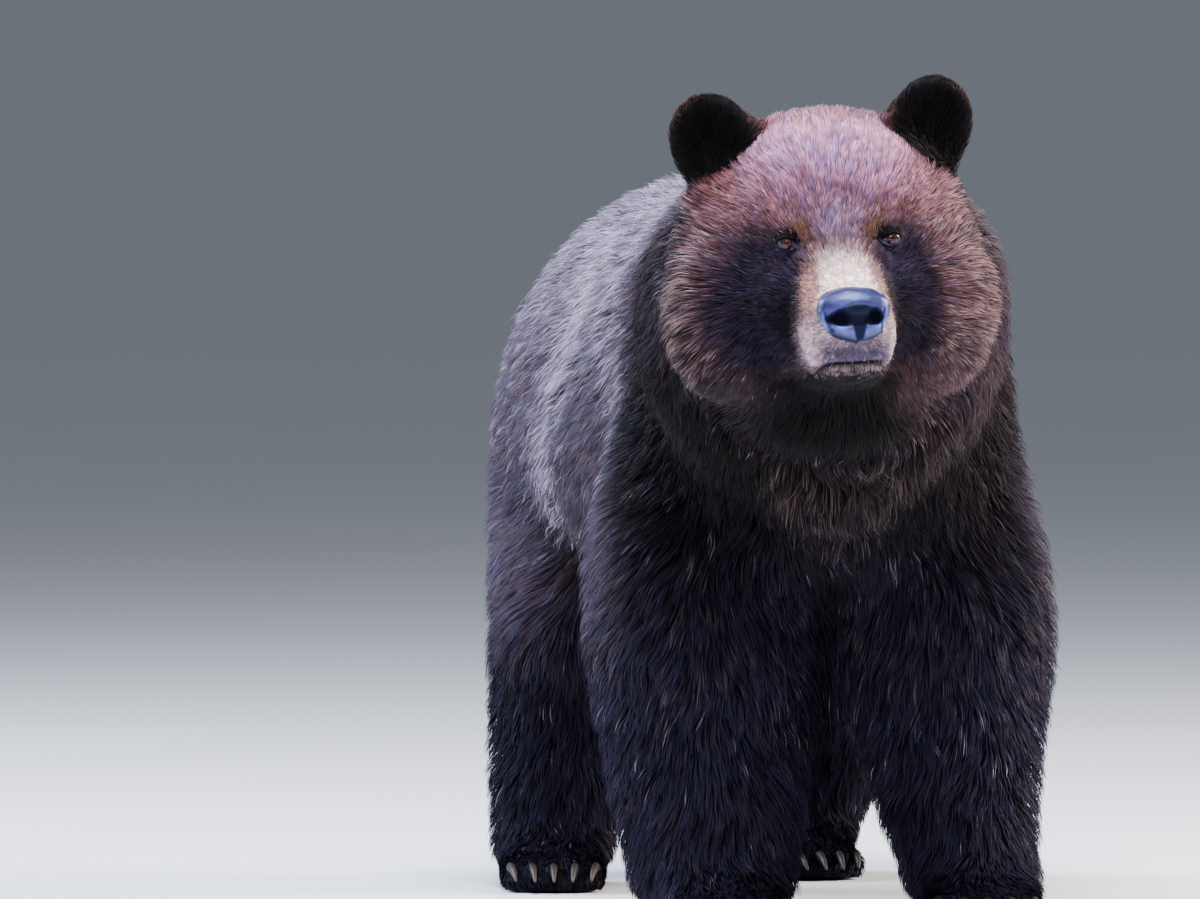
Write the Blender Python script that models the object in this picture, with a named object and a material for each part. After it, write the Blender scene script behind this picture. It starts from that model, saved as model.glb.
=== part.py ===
"""A grizzly bear standing square on, life size, as a museum shows it.

The bear faces -Y, its left side is at +X and its soles are on z = 0. The solids reach the tips of
the coat. Overlapping forms are swelled into one smooth body, which is then parted with thin cuts
where the animal has a named part.
"""

import math

import bmesh
import bpy
from mathutils import Euler, Matrix, Vector

# Driving dimensions, in metres.
BACK_HEIGHT = 0.90
HUMP_HEIGHT = 0.955
BELLY_HEIGHT = 0.355
CHEST_WIDTH = 0.49
BELLY_WIDTH = 0.60
RUMP_WIDTH = 0.61
WRIST_HEIGHT = 0.105
ANKLE_HEIGHT = 0.105
ELBOW_HEIGHT = 0.36
KNEE_HEIGHT = 0.34

# The head is set a little to the bear's right and turned towards that side.
HEAD_SHIFT = -0.044
HEAD_YAW = -1.8
HEAD_ROLL = 2.6
HEAD_PIVOT = Vector((0, -0.76, 0.78))

EYE_RADIUS = 0.0125
EYE_SPACING = 0.119
EAR_SPACING = 0.254
EAR_HEIGHTS = {"left": 0.943, "right": 0.9345}
NOSE_WIDTH = 0.083

GAP = 0.0004
BODY_VOXEL = 0.012
HEAD_VOXEL = 0.006
PAW_VOXEL = 0.005

SIDES = (("left", 1), ("right", -1))

COLOURS = {
    "fur_dark": (0.030, 0.019, 0.015),
    "fur_brown": (0.075, 0.043, 0.030),
    "fur_ear": (0.012, 0.008, 0.007),
    "nose": (0.020, 0.021, 0.027),
    "eye": (0.055, 0.020, 0.010),
    "claw": (0.060, 0.045, 0.034),
}
ROUGHNESS = {"nose": 0.35, "eye": 0.06, "claw": 0.4}
FUR_ROUGHNESS = 0.85


# Small helpers.


def clear_scene():
    for old in list(bpy.data.objects):
        bpy.data.objects.remove(old, do_unlink=True)


def make_material(name):
    material = bpy.data.materials.new(name)
    material.use_nodes = True
    shader = material.node_tree.nodes["Principled BSDF"]
    shader.inputs["Base Color"].default_value = (*COLOURS[name], 1)
    shader.inputs["Roughness"].default_value = ROUGHNESS.get(name, FUR_ROUGHNESS)
    shader.inputs["Metallic"].default_value = 0
    return material


def add_object(name, mesh, material=None):
    node = bpy.data.objects.new(name, mesh)
    bpy.context.collection.objects.link(node)
    if material:
        mesh.materials.clear()
        mesh.materials.append(material)
        mesh.shade_smooth()
    return node


def turned(pitch=0, roll=0, yaw=0):
    """A turn in degrees about X, Y and Z."""
    return Euler([math.radians(a) for a in (pitch, roll, yaw)]).to_matrix().to_4x4()


def ball(centre, radii, pitch=0, roll=0, yaw=0, rings=16):
    """An ellipsoid, as a bmesh."""
    form = bmesh.new()
    place = Matrix.Translation(centre) @ turned(pitch, roll, yaw) @ Matrix.Diagonal((*radii, 1))
    bmesh.ops.create_uvsphere(form, u_segments=2 * rings, v_segments=rings, radius=1, matrix=place)
    return form


def smooth_track(values, share):
    """The value at a share, from 0 to 1, of a smooth track through evenly weighted values."""
    place = share * (len(values) - 1)
    first = min(int(place), len(values) - 2)
    t = place - first
    before = values[max(first - 1, 0)]
    start = values[first]
    end = values[first + 1]
    after = values[min(first + 2, len(values) - 1)]
    return 0.5 * (
        2 * start
        + (end - before) * t
        + (2 * before - 5 * start + 4 * end - after) * t**2
        + (3 * start - before - 3 * end + after) * t**3
    )


def tube(stations, sides=24, rings_each=4, fullness=2.0):
    """A closed lofted form that runs forwards or downwards. A station is (x, y, z, half width, rise,
    drop): the middle of its widest line, and its reach above and below, or ahead and behind."""
    form = bmesh.new()
    tracks = list(zip(*stations))
    count = rings_each * (len(stations) - 1)
    shares = [i / count for i in range(count + 1)]
    centres = [Vector([smooth_track(tracks[axis], s) for axis in range(3)]) for s in shares]
    rings = []
    for i, share in enumerate(shares):
        along = (centres[min(i + 1, count)] - centres[max(i - 1, 0)]).normalized()
        up = along.cross(Vector((1, 0, 0))).normalized()
        across = up.cross(along)
        half_width, rise, drop = (smooth_track(tracks[k], share) for k in (3, 4, 5))
        ring = []
        for k in range(sides):
            angle = 2 * math.pi * k / sides
            c, s = math.cos(angle), math.sin(angle)
            wide = math.copysign(abs(c) ** (2 / fullness), c) * half_width
            high = math.copysign(abs(s) ** (2 / fullness), s) * (rise if s > 0 else drop)
            ring.append(form.verts.new(centres[i] + across * wide + up * high))
        rings.append(ring)
    for a, b in zip(rings, rings[1:]):
        for k in range(sides):
            form.faces.new((a[k], a[(k + 1) % sides], b[(k + 1) % sides], b[k]))
    form.faces.new(reversed(rings[0]))
    form.faces.new(rings[-1])
    bmesh.ops.recalc_face_normals(form, faces=form.faces)
    return form


def joined(forms, place=None):
    """One mesh that holds all of the forms, moved by a matrix."""
    mesh = bpy.data.meshes.new("forms")
    whole = bmesh.new()
    for form in forms:
        form.to_mesh(mesh)
        form.free()
        whole.from_mesh(mesh)
    if place:
        bmesh.ops.transform(whole, matrix=place, verts=whole.verts)
    whole.to_mesh(mesh)
    whole.free()
    return mesh


def evaluated_mesh(node):
    graph = bpy.context.evaluated_depsgraph_get()
    mesh = bpy.data.meshes.new_from_object(node.evaluated_get(graph))
    bpy.data.objects.remove(node, do_unlink=True)
    return mesh


def swelled(forms, voxel, rounds, triangles):
    """The forms melted together, smoothed, and thinned to about that many triangles."""
    node = add_object("blank", joined(forms))
    melt = node.modifiers.new("melt", "REMESH")
    melt.mode = "VOXEL"
    melt.voxel_size = voxel
    soften = node.modifiers.new("soften", "SMOOTH")
    soften.factor = 0.5
    soften.iterations = rounds
    mesh = evaluated_mesh(node)
    corners = sum(len(face.vertices) - 2 for face in mesh.polygons)
    node = add_object("blank", mesh)
    thin = node.modifiers.new("thin", "DECIMATE")
    thin.ratio = triangles / corners
    return evaluated_mesh(node)


def as_cutter(node):
    node.hide_render = True
    node.display_type = "WIRE"
    return node


def block(low, high, place=None):
    """A cutter box between two corners, moved by a matrix."""
    low, high = Vector(low), Vector(high)
    form = bmesh.new()
    size = Matrix.Diagonal((*(high - low), 1))
    box = Matrix.Translation((low + high) / 2) @ size
    bmesh.ops.create_cube(form, size=1, matrix=(place or Matrix()) @ box)
    return as_cutter(add_object("cutter", joined([form])))


def grown(mesh, distance):
    """A cutter a little larger all round than a mesh."""
    form = bmesh.new()
    form.from_mesh(mesh)
    form.normal_update()
    for vert in form.verts:
        vert.co += vert.normal * distance
    return as_cutter(add_object("cutter", joined([form])))


def add_boolean(node, cutter, operation):
    cut = node.modifiers.new(operation.lower(), "BOOLEAN")
    cut.operation = operation
    cut.object = cutter
    cut.solver = "EXACT"


def part_from(name, blank, material, keep=(), drop=()):
    """A part of a blank: what lies in every cutter of keep and in none of drop."""
    node = add_object(name, blank.copy(), material)
    for cutter in keep:
        add_boolean(node, cutter, "INTERSECT")
    for cutter in drop:
        add_boolean(node, cutter, "DIFFERENCE")
    return node


def let_in(host, guest):
    """Opens a seat in the host that clears the guest by the gap."""
    add_boolean(host, grown(guest.data, GAP), "DIFFERENCE")


# The forms of the body, each a closed shape that overlaps its neighbours.


def trunk_forms():
    chest = CHEST_WIDTH / 2
    belly = BELLY_WIDTH / 2
    rump = RUMP_WIDTH / 2
    widest = 0.565
    back = BACK_HEIGHT - widest
    under = widest - BELLY_HEIGHT
    stations = (
        (0, 0.57, widest + 0.05, rump * 0.50, back * 0.48, under * 0.45),
        (0, 0.49, widest + 0.03, rump * 0.84, back * 0.82, under * 0.75),
        (0, 0.38, widest + 0.01, rump * 0.99, back * 0.96, under * 0.88),
        (0, 0.24, widest, rump, back * 0.99, under * 0.95),
        (0, 0.05, widest, belly * 0.985, back * 0.97, under),
        (0, -0.14, widest + 0.01, belly * 0.91, back * 0.985, under),
        (0, -0.32, widest + 0.03, chest, back * 0.98, under * 1.10),
        (0, -0.46, widest + 0.06, chest * 0.92, back * 0.86, under * 1.10),
        (0, -0.56, widest + 0.10, chest * 0.55, back * 0.55, under * 0.80),
    )
    hump_rise = 0.12
    hump = ball((0, -0.35, HUMP_HEIGHT - hump_rise), (0.145, 0.19, hump_rise), pitch=4)
    rump_end = ball((0, 0.455, 0.625), (0.235, 0.195, 0.235), pitch=18)
    forms = [tube(stations, fullness=2.15), hump, rump_end]
    for _, side in SIDES:
        forms.append(ball((side * 0.145, -0.34, 0.665), (0.088, 0.165, 0.205), pitch=-12, roll=side * -10))
        forms.append(ball((side * 0.170, 0.38, 0.570), (0.140, 0.215, 0.250), pitch=10, roll=side * -6))
    return forms


def neck_forms():
    shift = HEAD_SHIFT
    stations = (
        (0.0, -0.36, 0.70, 0.215, 0.225, 0.20),
        (0.25 * shift, -0.46, 0.71, 0.222, 0.225, 0.24),
        (0.55 * shift, -0.57, 0.725, 0.228, 0.208, 0.250),
        (0.8 * shift, -0.68, 0.745, 0.220, 0.198, 0.225),
        (shift, -0.78, 0.755, 0.150, 0.14, 0.140),
    )
    ruff = ball((0.5 * shift, -0.61, 0.60), (0.135, 0.100, 0.142), pitch=-12)
    throat = ball((0.9 * shift, -0.73, 0.665), (0.150, 0.125, 0.120), pitch=-38)
    return [tube(stations, fullness=2.1), ruff, throat]


# A leg's stations from its top to its sole: height, centre across, centre along, half width, reach ahead
# and behind.

FORELEG = {
    "left": (
        (0.70, 0.125, -0.350, 0.085, 0.13, 0.13),
        (0.58, 0.136, -0.365, 0.102, 0.15, 0.15),
        (0.46, 0.146, -0.385, 0.130, 0.140, 0.155),
        (0.34, 0.148, -0.400, 0.142, 0.125, 0.135),
        (0.22, 0.153, -0.410, 0.125, 0.110, 0.108),
        (0.12, 0.166, -0.420, 0.097, 0.100, 0.090),
        (0.03, 0.183, -0.430, 0.075, 0.100, 0.080),
    ),
    "right": (
        (0.70, -0.135, -0.350, 0.090, 0.13, 0.13),
        (0.58, -0.146, -0.370, 0.108, 0.15, 0.15),
        (0.46, -0.152, -0.390, 0.138, 0.142, 0.155),
        (0.34, -0.147, -0.405, 0.146, 0.128, 0.135),
        (0.22, -0.140, -0.415, 0.136, 0.112, 0.108),
        (0.12, -0.136, -0.425, 0.119, 0.102, 0.090),
        (0.03, -0.130, -0.435, 0.094, 0.102, 0.080),
    ),
}

HIND_LEG = {
    "left": (
        (0.62, 0.165, 0.40, 0.125, 0.17, 0.19),
        (0.50, 0.185, 0.415, 0.122, 0.18, 0.19),
        (0.38, 0.192, 0.445, 0.112, 0.155, 0.155),
        (0.27, 0.172, 0.500, 0.102, 0.122, 0.115),
        (0.17, 0.138, 0.550, 0.092, 0.100, 0.092),
        (0.09, 0.108, 0.568, 0.080, 0.095, 0.080),
        (0.03, 0.098, 0.568, 0.072, 0.090, 0.070),
    ),
    "right": (
        (0.62, -0.168, 0.39, 0.130, 0.17, 0.20),
        (0.50, -0.192, 0.370, 0.124, 0.185, 0.19),
        (0.38, -0.206, 0.345, 0.114, 0.160, 0.155),
        (0.27, -0.214, 0.345, 0.106, 0.130, 0.125),
        (0.17, -0.220, 0.352, 0.099, 0.104, 0.100),
        (0.09, -0.228, 0.355, 0.086, 0.095, 0.085),
        (0.03, -0.232, 0.355, 0.072, 0.090, 0.070),
    ),
}


def leg_form(stations):
    """A leg's tube. It runs down from the trunk, so its rise is ahead and its drop behind."""
    return tube([(x, y, z, half, ahead, behind) for z, x, y, half, ahead, behind in stations])


def elbow_form(stations, side):
    _, across, along = stations[2][:3]
    return ball((across + side * 0.01, along + 0.10, 0.44), (0.095, 0.10, 0.11), pitch=20)


# The paws. A paw's own frame has its ankle at the origin and its toes towards -Y.

FOREPAW = {"length": 0.15, "width": 0.160, "instep": 0.052, "toe": 0.0215, "claw": 0.062, "bend": 44}
HINDPAW = {"length": 0.155, "width": 0.146, "instep": 0.050, "toe": 0.0195, "claw": 0.038, "bend": 46}
TOES = range(-2, 3)


def toe_place(paw, toe):
    """The middle of a toe. The middle toe reaches furthest."""
    across = toe * (paw["width"] - 2 * paw["toe"]) / 4
    ahead = paw["length"] - paw["toe"] * 1.25 - 0.0045 * toe**2
    return Vector((across, -ahead, paw["toe"] * 1.12))


def paw_forms(paw, heel):
    half = paw["width"] / 2
    high = paw["instep"]
    forms = [
        ball((0, -0.30 * paw["length"], 0.42 * high), (half * 0.98, 0.62 * paw["length"], high)),
        ball((0, 0, 0.75 * high), (half * 0.92, 0.075, high * 1.2)),
    ]
    for toe in TOES:
        r = paw["toe"]
        forms.append(ball(toe_place(paw, toe), (r * 0.92, r * 1.55, r * 1.2), pitch=14, rings=10))
    if heel:
        forms.append(ball((0, 0.055, 0.036), (half * 0.74, 0.075, 0.046)))
    return forms


def claw_mesh(paw, toe, swell=0.0):
    """A curved, tapering claw, deeper than it is wide. swell makes it larger all round."""
    sides, rings = 5, 4
    bend = math.radians(paw["bend"])
    arc = paw["claw"] * 1.25 / bend
    root = toe_place(paw, toe) + Vector((0, -0.2 * paw["toe"], 0.5 * paw["toe"]))
    fan = Matrix.Rotation(math.radians(-5 * toe), 4, "Z")
    form = bmesh.new()
    loops = []
    for i in range(rings):
        share = i / (rings - 1)
        angle = share * bend
        thick = 0.0066 * (1 - share) ** 0.65 + 0.0011 + swell
        lift = math.radians(3)
        point = Vector((0, -arc * math.sin(angle), arc * (math.cos(angle) - 1)))
        tangent = Vector((0, -math.cos(angle), -math.sin(angle)))
        stretch = swell * (-1 if i == 0 else 1 if i == rings - 1 else 0)
        rise = Matrix.Rotation(-lift, 4, "X")
        centre = rise @ (point + tangent * stretch)
        up = rise @ Vector((0, -math.sin(angle), math.cos(angle)))
        loop = []
        for k in range(sides):
            a = 2 * math.pi * k / sides
            offset = Vector((math.cos(a) * thick * 0.78, 0, 0)) + up * math.sin(a) * thick
            loop.append(form.verts.new(root + fan @ (centre + offset)))
        loops.append(loop)
    for a, b in zip(loops, loops[1:]):
        for k in range(sides):
            form.faces.new((a[k], a[(k + 1) % sides], b[(k + 1) % sides], b[k]))
    form.faces.new(reversed(loops[0]))
    form.faces.new(loops[-1])
    bmesh.ops.recalc_face_normals(form, faces=form.faces)
    return joined([form])


def make_paw(name, claw_name, leg, paw, ankle, yaw, height, heel, materials):
    """One paw with its five claws, flat on the floor, under a leg."""
    place = Matrix.Translation(ankle) @ turned(yaw=yaw)
    shank = leg_form(leg[3:])
    forms = paw_forms(paw, heel)
    set_on(forms, place)
    blank = swelled([*forms, shank], PAW_VOXEL, 5, 270)
    below = block((-1, -1.5, 0), (1, 1.5, height - GAP / 2))
    node = part_from(name, blank, materials["fur_dark"], keep=[below])
    for number, toe in enumerate(TOES, 1):
        mesh = claw_mesh(paw, toe)
        mesh.transform(place)
        add_object(f"{claw_name}_{number}", mesh, materials["claw"])
        seat = claw_mesh(paw, toe, GAP * 1.5)
        seat.transform(place)
        add_boolean(node, as_cutter(add_object("cutter", seat)), "DIFFERENCE")
    return node


# The head, built straight and level with its midline on x = 0, then set on the neck.


def head_place():
    pivot = Matrix.Translation(HEAD_PIVOT)
    shift = Matrix.Translation((HEAD_SHIFT, 0, 0))
    return shift @ pivot @ turned(roll=-HEAD_ROLL, yaw=HEAD_YAW) @ pivot.inverted()


def muzzle_form():
    """From between the eyes to the lips: height and width fall towards the nose."""
    stations = (
        (0, -0.80, 0.765, 0.075, 0.080, 0.090),
        (0, -0.88, 0.755, 0.069, 0.066, 0.090),
        (0, -0.94, 0.738, 0.061, 0.054, 0.079),
        (0, -0.985, 0.723, 0.057, 0.049, 0.066),
        (0, -1.015, 0.716, 0.052, 0.045, 0.052),
        (0, -1.032, 0.714, 0.036, 0.034, 0.034),
    )
    return tube(stations, fullness=2.3)


def skull_forms():
    """The round of the crown and the ruff of the cheeks, which run on into the neck."""
    forms = [
        ball((0, -0.745, 0.785), (0.192, 0.135, 0.191)),
        ball((0, -0.800, 0.853), (0.128, 0.105, 0.107), pitch=-14),
    ]
    for _, side in SIDES:
        forms.append(ball((side * 0.106, -0.765, 0.735), (0.099, 0.115, 0.128)))
    return forms


def face_forms():
    forms = [
        ball((0, -0.850, 0.800), (0.110, 0.060, 0.072)),
        muzzle_form(),
        ball((0, -0.943, 0.682), (0.043, 0.060, 0.031), pitch=10),
        ball((0, -0.870, 0.680), (0.060, 0.075, 0.045), pitch=6),
    ]
    for _, side in SIDES:
        forms.append(ball((side * 0.060, -0.865, 0.838), (0.036, 0.034, 0.022), yaw=side * 20))
        forms.append(ball((side * 0.052, -0.860, 0.745), (0.055, 0.060, 0.060)))
    return forms


def set_on(forms, place):
    for form in forms:
        bmesh.ops.transform(form, matrix=place, verts=form.verts)
    return forms


def eye_centre(side):
    return Vector((side * EYE_SPACING / 2, -0.8945, 0.8165))


def nose_mesh(place):
    half = NOSE_WIDTH / 2
    forms = [
        ball((0, -1.022, 0.738), (half, 0.021, 0.024), pitch=-10),
        ball((0, -1.027, 0.722), (half * 0.74, 0.016, 0.024)),
        ball((0, -1.006, 0.748), (half * 0.86, 0.022, 0.016)),
    ]
    return swelled(set_on(forms, place), 0.003, 3, 170)


def ear_mesh(side, height, place):
    """A thick round shell, hollowed on its front."""
    centre = Vector((side * EAR_SPACING / 2, -0.765, height))
    lean = {"roll": side * 24, "yaw": side * 12}
    shell = ball((0, 0, 0), (0.055, 0.033, 0.066), rings=18)
    hollow = ball((0, -0.036, 0.004), (0.036, 0.021, 0.045), rings=14)
    stand = place @ Matrix.Translation(centre) @ turned(**lean)
    node = add_object("ear", joined([shell], stand))
    cutter = as_cutter(add_object("cutter", joined([hollow], stand)))
    add_boolean(node, cutter, "DIFFERENCE")
    mesh = evaluated_mesh(node)
    node = add_object("ear", mesh)
    melt = node.modifiers.new("melt", "REMESH")
    melt.mode = "VOXEL"
    melt.voxel_size = 0.004
    soften = node.modifiers.new("soften", "SMOOTH")
    soften.iterations = 4
    thin = node.modifiers.new("thin", "DECIMATE")
    thin.ratio = 0.034
    return evaluated_mesh(node)


def make_head(materials):
    place = head_place()
    blank = swelled(neck_forms() + set_on(skull_forms() + face_forms(), place), HEAD_VOXEL, 7, 1900)
    nape = neck_plane()
    ahead = block((-1, -1.5, -1), (1, -GAP / 2, 1), nape)
    jaw_region = Matrix.Translation((0, -0.93, 0.681)) @ turned(pitch=8)
    jaw_keep = block((-0.2, -0.2, -0.2), (0.2, 0.045, -GAP), place @ jaw_region)
    jaw_drop = block((-0.2, -0.2, -0.2), (0.2, 0.045 + GAP, 0), place @ jaw_region)
    head = part_from("head", blank, materials["fur_brown"], keep=[ahead], drop=[jaw_drop])
    jaw = part_from("lower_jaw", blank, materials["fur_brown"], keep=[jaw_keep])

    nose = add_object("nose", nose_mesh(place), materials["nose"])
    let_in(head, nose)
    let_in(jaw, nose)
    for label, side in SIDES:
        ear = add_object(f"ear_{label}", ear_mesh(side, EAR_HEIGHTS[label], place), materials["fur_ear"])
        let_in(head, ear)
        centre = eye_centre(side)
        eye_form = ball(centre, [EYE_RADIUS] * 3, rings=6)
        eye = add_object(f"eye_{label}", joined([eye_form], place), materials["eye"])
        let_in(head, eye)
        opening = ball(centre + Vector((0, -0.017, 0)), (0.0132, 0.0155, 0.0095), roll=side * 7, rings=7)
        add_boolean(head, as_cutter(add_object("cutter", joined([opening], place))), "DIFFERENCE")
    return head


# Where the body is parted.


def neck_plane():
    """Behind the ears and cheeks. Its +Y side is the neck."""
    return Matrix.Translation((0, -0.715, 0.75)) @ turned(pitch=-14)


def shoulder_plane():
    """Ahead of the hump. Its +Y side is the trunk."""
    return Matrix.Translation((0, -0.515, 0.75)) @ turned(pitch=-20)


def leg_frames(side):
    """Where the fore and hind legs leave the trunk, each with its -Z side towards the leg."""
    fore = Matrix.Translation((side * 0.15, -0.38, 0.535)) @ turned(roll=side * -24, pitch=-8)
    hind = Matrix.Translation((side * 0.17, 0.42, 0.47)) @ turned(roll=side * -26, pitch=10)
    return fore, hind


def make_body(materials):
    """Trunk, neck, upper and lower legs, all cut from one blank."""
    forms = trunk_forms() + neck_forms() + set_on(skull_forms(), head_place())
    for label, side in SIDES:
        forms.append(leg_form(FORELEG[label]))
        forms.append(elbow_form(FORELEG[label], side))
        forms.append(leg_form(HIND_LEG[label]))
    blank = swelled(forms, BODY_VOXEL, 22, 3000)

    neck_to = block((-1, 0 + GAP / 2, -1), (1, 1, 1), neck_plane())
    neck_from = block((-1, -1, -1), (1, -GAP / 2, 1), shoulder_plane())
    neck_drop = block((-1, -1, -1), (1, GAP / 2, 1), shoulder_plane())
    part_from("neck", blank, materials["fur_brown"], keep=[neck_to, neck_from])

    trunk_drops = [neck_drop]
    legs = {
        "fore": (FORELEG, ("upper_foreleg", "forearm"), ELBOW_HEIGHT, WRIST_HEIGHT, 0.30, 0.20),
        "hind": (HIND_LEG, ("thigh", "shank"), KNEE_HEIGHT, ANKLE_HEIGHT, 0.36, 0.40),
    }
    for label, side in SIDES:
        for frame, (_, names, joint, foot, ahead, behind) in zip(leg_frames(side), legs.values()):
            inner, outer = sorted((side * 0.002, side * 0.5))
            mid = frame.translation
            column_low = (inner, mid.y - ahead, -0.2)
            column_high = (outer, mid.y + behind, 1)
            column = block(column_low, column_high)
            under = block((-1, -1, -1), (1, 1, -GAP), frame)
            over_joint = block((-1, -1.5, joint + GAP), (1, 1.5, 1.5))
            under_joint = block((-1, -1.5, foot + GAP / 2), (1, 1.5, joint))
            upper = part_from(
                f"{names[0]}_{label}", blank, materials["fur_dark"], keep=[column, under, over_joint]
            )
            if "foreleg" in names[0]:
                add_boolean(upper, neck_drop, "DIFFERENCE")
            part_from(
                f"{names[1]}_{label}", blank, materials["fur_dark"], keep=[column, under, under_joint]
            )
            wider = add_object("cutter", block(
                [v - GAP for v in column_low], [v + GAP for v in column_high]
            ).data.copy())
            add_boolean(wider, block((-1, -1, -1), (1, 1, 0), frame), "INTERSECT")
            trunk_drops.append(as_cutter(wider))
    return part_from("trunk", blank, materials["fur_dark"], drop=trunk_drops)


def make_tail(trunk, materials):
    mesh = swelled([ball((0, 0.640, 0.650), (0.038, 0.036, 0.074), pitch=-4)], 0.006, 2, 90)
    let_in(trunk, add_object("tail", mesh, materials["fur_dark"]))


def centre_on_origin():
    """Moves every node, with its cutters, so that the box round the bear stands centred on the origin."""
    graph = bpy.context.evaluated_depsgraph_get()
    corners = []
    for node in bpy.data.objects:
        if not node.hide_render:
            corners.extend(Vector(corner) for corner in node.evaluated_get(graph).bound_box)
    across = [corner.x for corner in corners]
    along = [corner.y for corner in corners]
    middle = Vector(((min(across) + max(across)) / 2, (min(along) + max(along)) / 2, 0))
    for node in bpy.data.objects:
        node.location -= middle


def main():
    clear_scene()
    materials = {name: make_material(name) for name in COLOURS}
    trunk = make_body(materials)
    make_tail(trunk, materials)
    make_head(materials)
    for label, side in SIDES:
        for paw, kind, legs, height, heel, toe_in in (
            (FOREPAW, "fore", FORELEG, WRIST_HEIGHT, False, 4),
            (HINDPAW, "hind", HIND_LEG, ANKLE_HEIGHT, True, -6),
        ):
            leg = legs[label]
            ankle = Vector((leg[-1][1], leg[-1][2], 0))
            make_paw(
                f"{kind}paw_{label}", f"{kind}claw_{label}", leg, paw, ankle, side * -toe_in, height,
                heel, materials,
            )
    centre_on_origin()


main()
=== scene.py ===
import math

import bpy
import numpy as np
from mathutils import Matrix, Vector
from mathutils.bvhtree import BVHTree
from mathutils.kdtree import KDTree


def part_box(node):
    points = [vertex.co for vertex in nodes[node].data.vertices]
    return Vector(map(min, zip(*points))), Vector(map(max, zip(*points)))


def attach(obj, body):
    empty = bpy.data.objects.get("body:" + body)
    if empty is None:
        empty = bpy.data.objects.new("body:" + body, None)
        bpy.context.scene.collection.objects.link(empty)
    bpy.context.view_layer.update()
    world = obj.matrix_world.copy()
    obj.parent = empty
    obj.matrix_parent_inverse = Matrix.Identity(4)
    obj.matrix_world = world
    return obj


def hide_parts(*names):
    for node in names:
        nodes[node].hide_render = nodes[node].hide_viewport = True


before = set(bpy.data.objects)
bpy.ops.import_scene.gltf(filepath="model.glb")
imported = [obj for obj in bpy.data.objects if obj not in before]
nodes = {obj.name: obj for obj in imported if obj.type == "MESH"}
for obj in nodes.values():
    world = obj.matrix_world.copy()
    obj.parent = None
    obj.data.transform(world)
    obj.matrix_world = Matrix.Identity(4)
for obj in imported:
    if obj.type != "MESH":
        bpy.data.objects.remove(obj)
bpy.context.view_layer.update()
scene = bpy.context.scene
print("frame loaded:", len(nodes), "nodes")


# small tools used by every piece

def makeActive(piece):
    bpy.ops.object.select_all(action="DESELECT")
    piece.select_set(True)
    bpy.context.view_layer.objects.active = piece


def makeObject(name, data):
    made = bpy.data.objects.new(name, data)
    scene.collection.objects.link(made)
    return made


def applyModifier(piece, kind, **values):
    makeActive(piece)
    step = piece.modifiers.new(kind.lower(), kind)
    for name, value in values.items():
        setattr(step, name, value)
    bpy.ops.object.modifier_apply(modifier=step.name)


def copyOfNodes(name, wanted):
    # one loose copy of some CAD nodes, with its doubled corners merged
    bpy.ops.object.select_all(action="DESELECT")
    twins = []
    for nodeName in wanted:
        twin = nodes[nodeName].copy()
        twin.data = nodes[nodeName].data.copy()
        twin.parent = None
        for key in list(twin.keys()):
            del twin[key]
        scene.collection.objects.link(twin)
        twin.hide_render = twin.hide_viewport = False
        twin.select_set(True)
        twins.append(twin)
    whole = twins[0]
    bpy.context.view_layer.objects.active = whole
    if len(twins) > 1:
        bpy.ops.object.join()
    whole.name = whole.data.name = name
    whole.data.materials.clear()
    bpy.ops.object.mode_set(mode="EDIT")
    bpy.ops.mesh.select_all(action="SELECT")
    bpy.ops.mesh.remove_doubles(threshold=0.00002)
    bpy.ops.object.mode_set(mode="OBJECT")
    return whole


def readAll(items, key, kind=float):
    # rows of three: a vector for each item, or the whole numbers of three items
    values = np.empty(len(items) * (3 if kind is float else 1), np.float32 if kind is float else np.int32)
    items.foreach_get(key, values)
    return values.reshape(-1, 3).astype(kind)


def getPlaces(mesh):
    return readAll(mesh.vertices, "co")


def getNormals(mesh):
    return readAll(mesh.vertex_normals, "vector")


def getTriangles(mesh):
    return readAll(mesh.loops, "vertex_index", int)


def setPlaces(mesh, places):
    mesh.vertices.foreach_set("co", places.astype(np.float32).ravel())
    mesh.update()


def keepAbove(places, low):
    places[:, 2] = np.maximum(places[:, 2], low)


def finishMesh(mesh, material):
    mesh.materials.clear()
    mesh.materials.append(material)
    mesh.shade_smooth()


def storeValue(mesh, name, values):
    mesh.attributes.new(name, "FLOAT", "POINT").data.foreach_set("value", values.astype(np.float32))


def storeColour(mesh, colour):
    layer = mesh.color_attributes.new("coat", "FLOAT_COLOR", "POINT")
    layer.data.foreach_set("color", np.column_stack([colour, np.ones(len(colour))]).astype(np.float32).ravel())


def storeFlat(mesh, flat):
    mesh.uv_layers.new(name="OFBake").data.foreach_set("uv", flat.astype(np.float32).ravel())


def lengths(vectors):
    return np.linalg.norm(vectors, axis=1)


def unit(vectors):
    return vectors / np.maximum(np.linalg.norm(vectors, axis=-1, keepdims=True), 1e-9)


def ramp(low, high, values):
    # 0 below low, 1 above high, smooth between
    share = np.clip((values - low) / (high - low), 0, 1)
    return share * share * (3 - 2 * share)


def fall(low, high, values):
    return 1 - ramp(low, high, values)


def between(low, high, edge, values):
    return ramp(low, low + edge, values) * fall(high - edge, high, values)


def bell(values, middle, width):
    return np.exp(-((values - middle) / width) ** 2)


def mixed(first, second, share):
    share = np.asarray(share)[..., None]
    return first * (1 - share) + np.asarray(second) * share


def layered(value, rows):
    for layer, share in rows:
        value = mixed(value, layer, share)
    return value


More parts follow.
